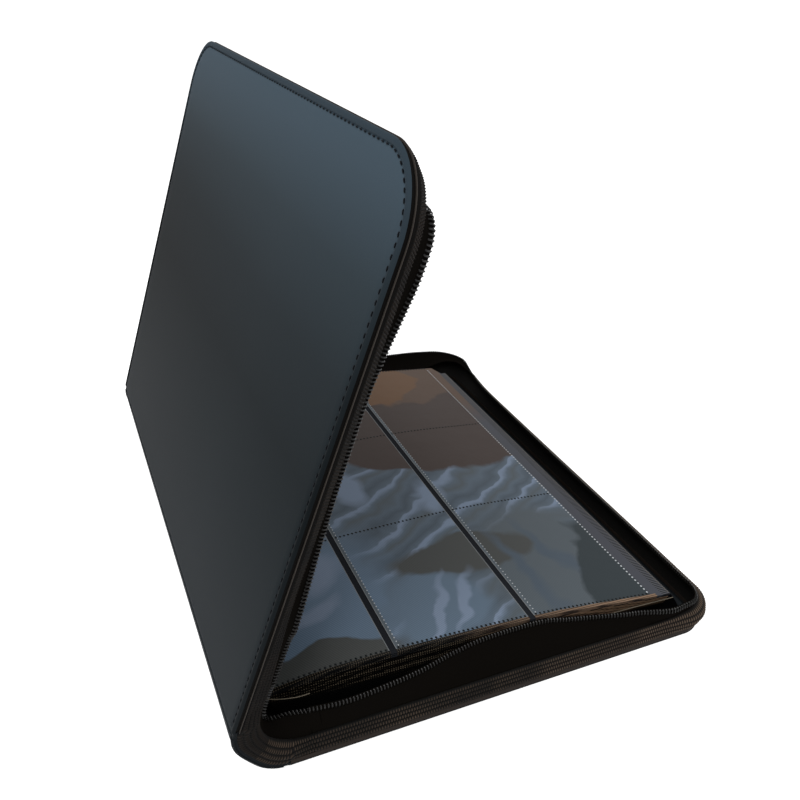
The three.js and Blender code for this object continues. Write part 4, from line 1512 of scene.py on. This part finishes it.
def build_spine():
    leather = spine_leather()
    flatten_with_spine(leather)
    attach(leather, "spine")
    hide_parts("spine_skin", "spine_board")
    stitches = spine_stitches()
    flatten_with_spine(stitches)
    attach(stitches, "spine")
    for near in (True, False):
        spine_edge(near)
        for side in ("back", "front"):
            band = spine_end(side, near)
            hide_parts("near_end_gusset" if near else "far_end_gusset")
    for side in ("back", "front"):
        coil, tape = end_zip(side, True)
        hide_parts("near_end_chain", f"{side}_zip_near_stop")
        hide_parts("near_end_tape")
        coil, tape = end_zip(side, False)
        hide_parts("far_end_chain")
        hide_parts("far_end_tape")


def dress_cad():
    """Gives the CAD nodes that stay in sight their materials."""
    by_slot = {
        "lining": LINING, "metal": METAL, "greyboard": BOARD, "band": BAND, "tape": TAPE, "teeth": COIL,
    }
    for part in frame["record"]["subparts"]:
        if part["material_slot"] in by_slot:
            node = frame["nodes"][part["node"]]
            node.data.materials.clear()
            node.data.materials.append(by_slot[part["material_slot"]])


# Studio
def seen_directly(tree):
    """A node that is 1 for the camera's own rays and for reflections and transmissions, 0 for other light."""
    path = add_node(tree, "ShaderNodeLightPath")
    mirrored = combine(tree, "MAXIMUM", path, "Is Glossy Ray", path, "Is Transmission Ray")
    return combine(tree, "MAXIMUM", path, "Is Camera Ray", mirrored, "Value")


def build_floor():
    bpy.ops.mesh.primitive_plane_add(size=400, location=(0, 0, -0.0005))
    floor = bpy.context.object
    floor.name = "floor"
    material = new_material("floor", grey(0.8), 0.9, 0.0)
    floor.data.materials.append(material)
    tree = material.node_tree
    shader = tree.nodes["Principled BSDF"]
    link(tree, seen_directly(tree), "Value", shader, "Emission Strength")
    shader.inputs["Emission Color"].default_value = (*grey(0.7), 1)


def build_world():
    """White for the camera, and weaker for the light that it throws on the binder."""
    world = bpy.data.worlds.new("studio")
    bpy.context.scene.world = world
    world.use_nodes = True
    tree = world.node_tree
    background = tree.nodes["Background"]
    strength = add_node(tree, "ShaderNodeMapRange")
    strength.inputs["To Min"].default_value = 0.55
    link(tree, seen_directly(tree), "Value", strength, "Value")
    link(tree, strength, "Result", background, "Strength")
    background.inputs["Color"].default_value = (*grey(1.0), 1)


def area_light(name, place, target, size, power):
    data = bpy.data.lights.new(name, "AREA")
    data.size = size
    data.energy = power
    lamp = bpy.data.objects.new(name, data)
    lamp.location = place
    lamp.rotation_euler = (Vector(target) - Vector(place)).to_track_quat("-Z", "Y").to_euler()
    bpy.context.scene.collection.objects.link(lamp)


def build_camera():
    data = bpy.data.cameras.new("camera")
    data.sensor_width = 36
    data.lens = CAMERA_LENS
    data.shift_x, data.shift_y = CAMERA_SHIFT
    camera = bpy.data.objects.new("camera", data)
    camera.location = CAMERA_PLACE
    camera.rotation_euler = [math.radians(angle) for angle in CAMERA_TURN]
    bpy.context.scene.collection.objects.link(camera)
    bpy.context.scene.camera = camera


cover_half(Side("back", WIDTH + BACK_EXTRA, BACK_CORNER, BACK_COIL_LINE))
cover_half(Side("front", WIDTH, CORNER, FRONT_COIL_LINE))
build_spine()
build_leaves()
dress_cad()
build_floor()
build_world()
area_light("key", (-0.9, -0.7, 1.3), (0, 0, 0.1), 0.9, 14)
area_light("fill", (1.1, -0.6, 0.8), (0, 0, 0.1), 1.0, 5)
build_camera()
bpy.context.scene.view_settings.view_transform = "Standard"
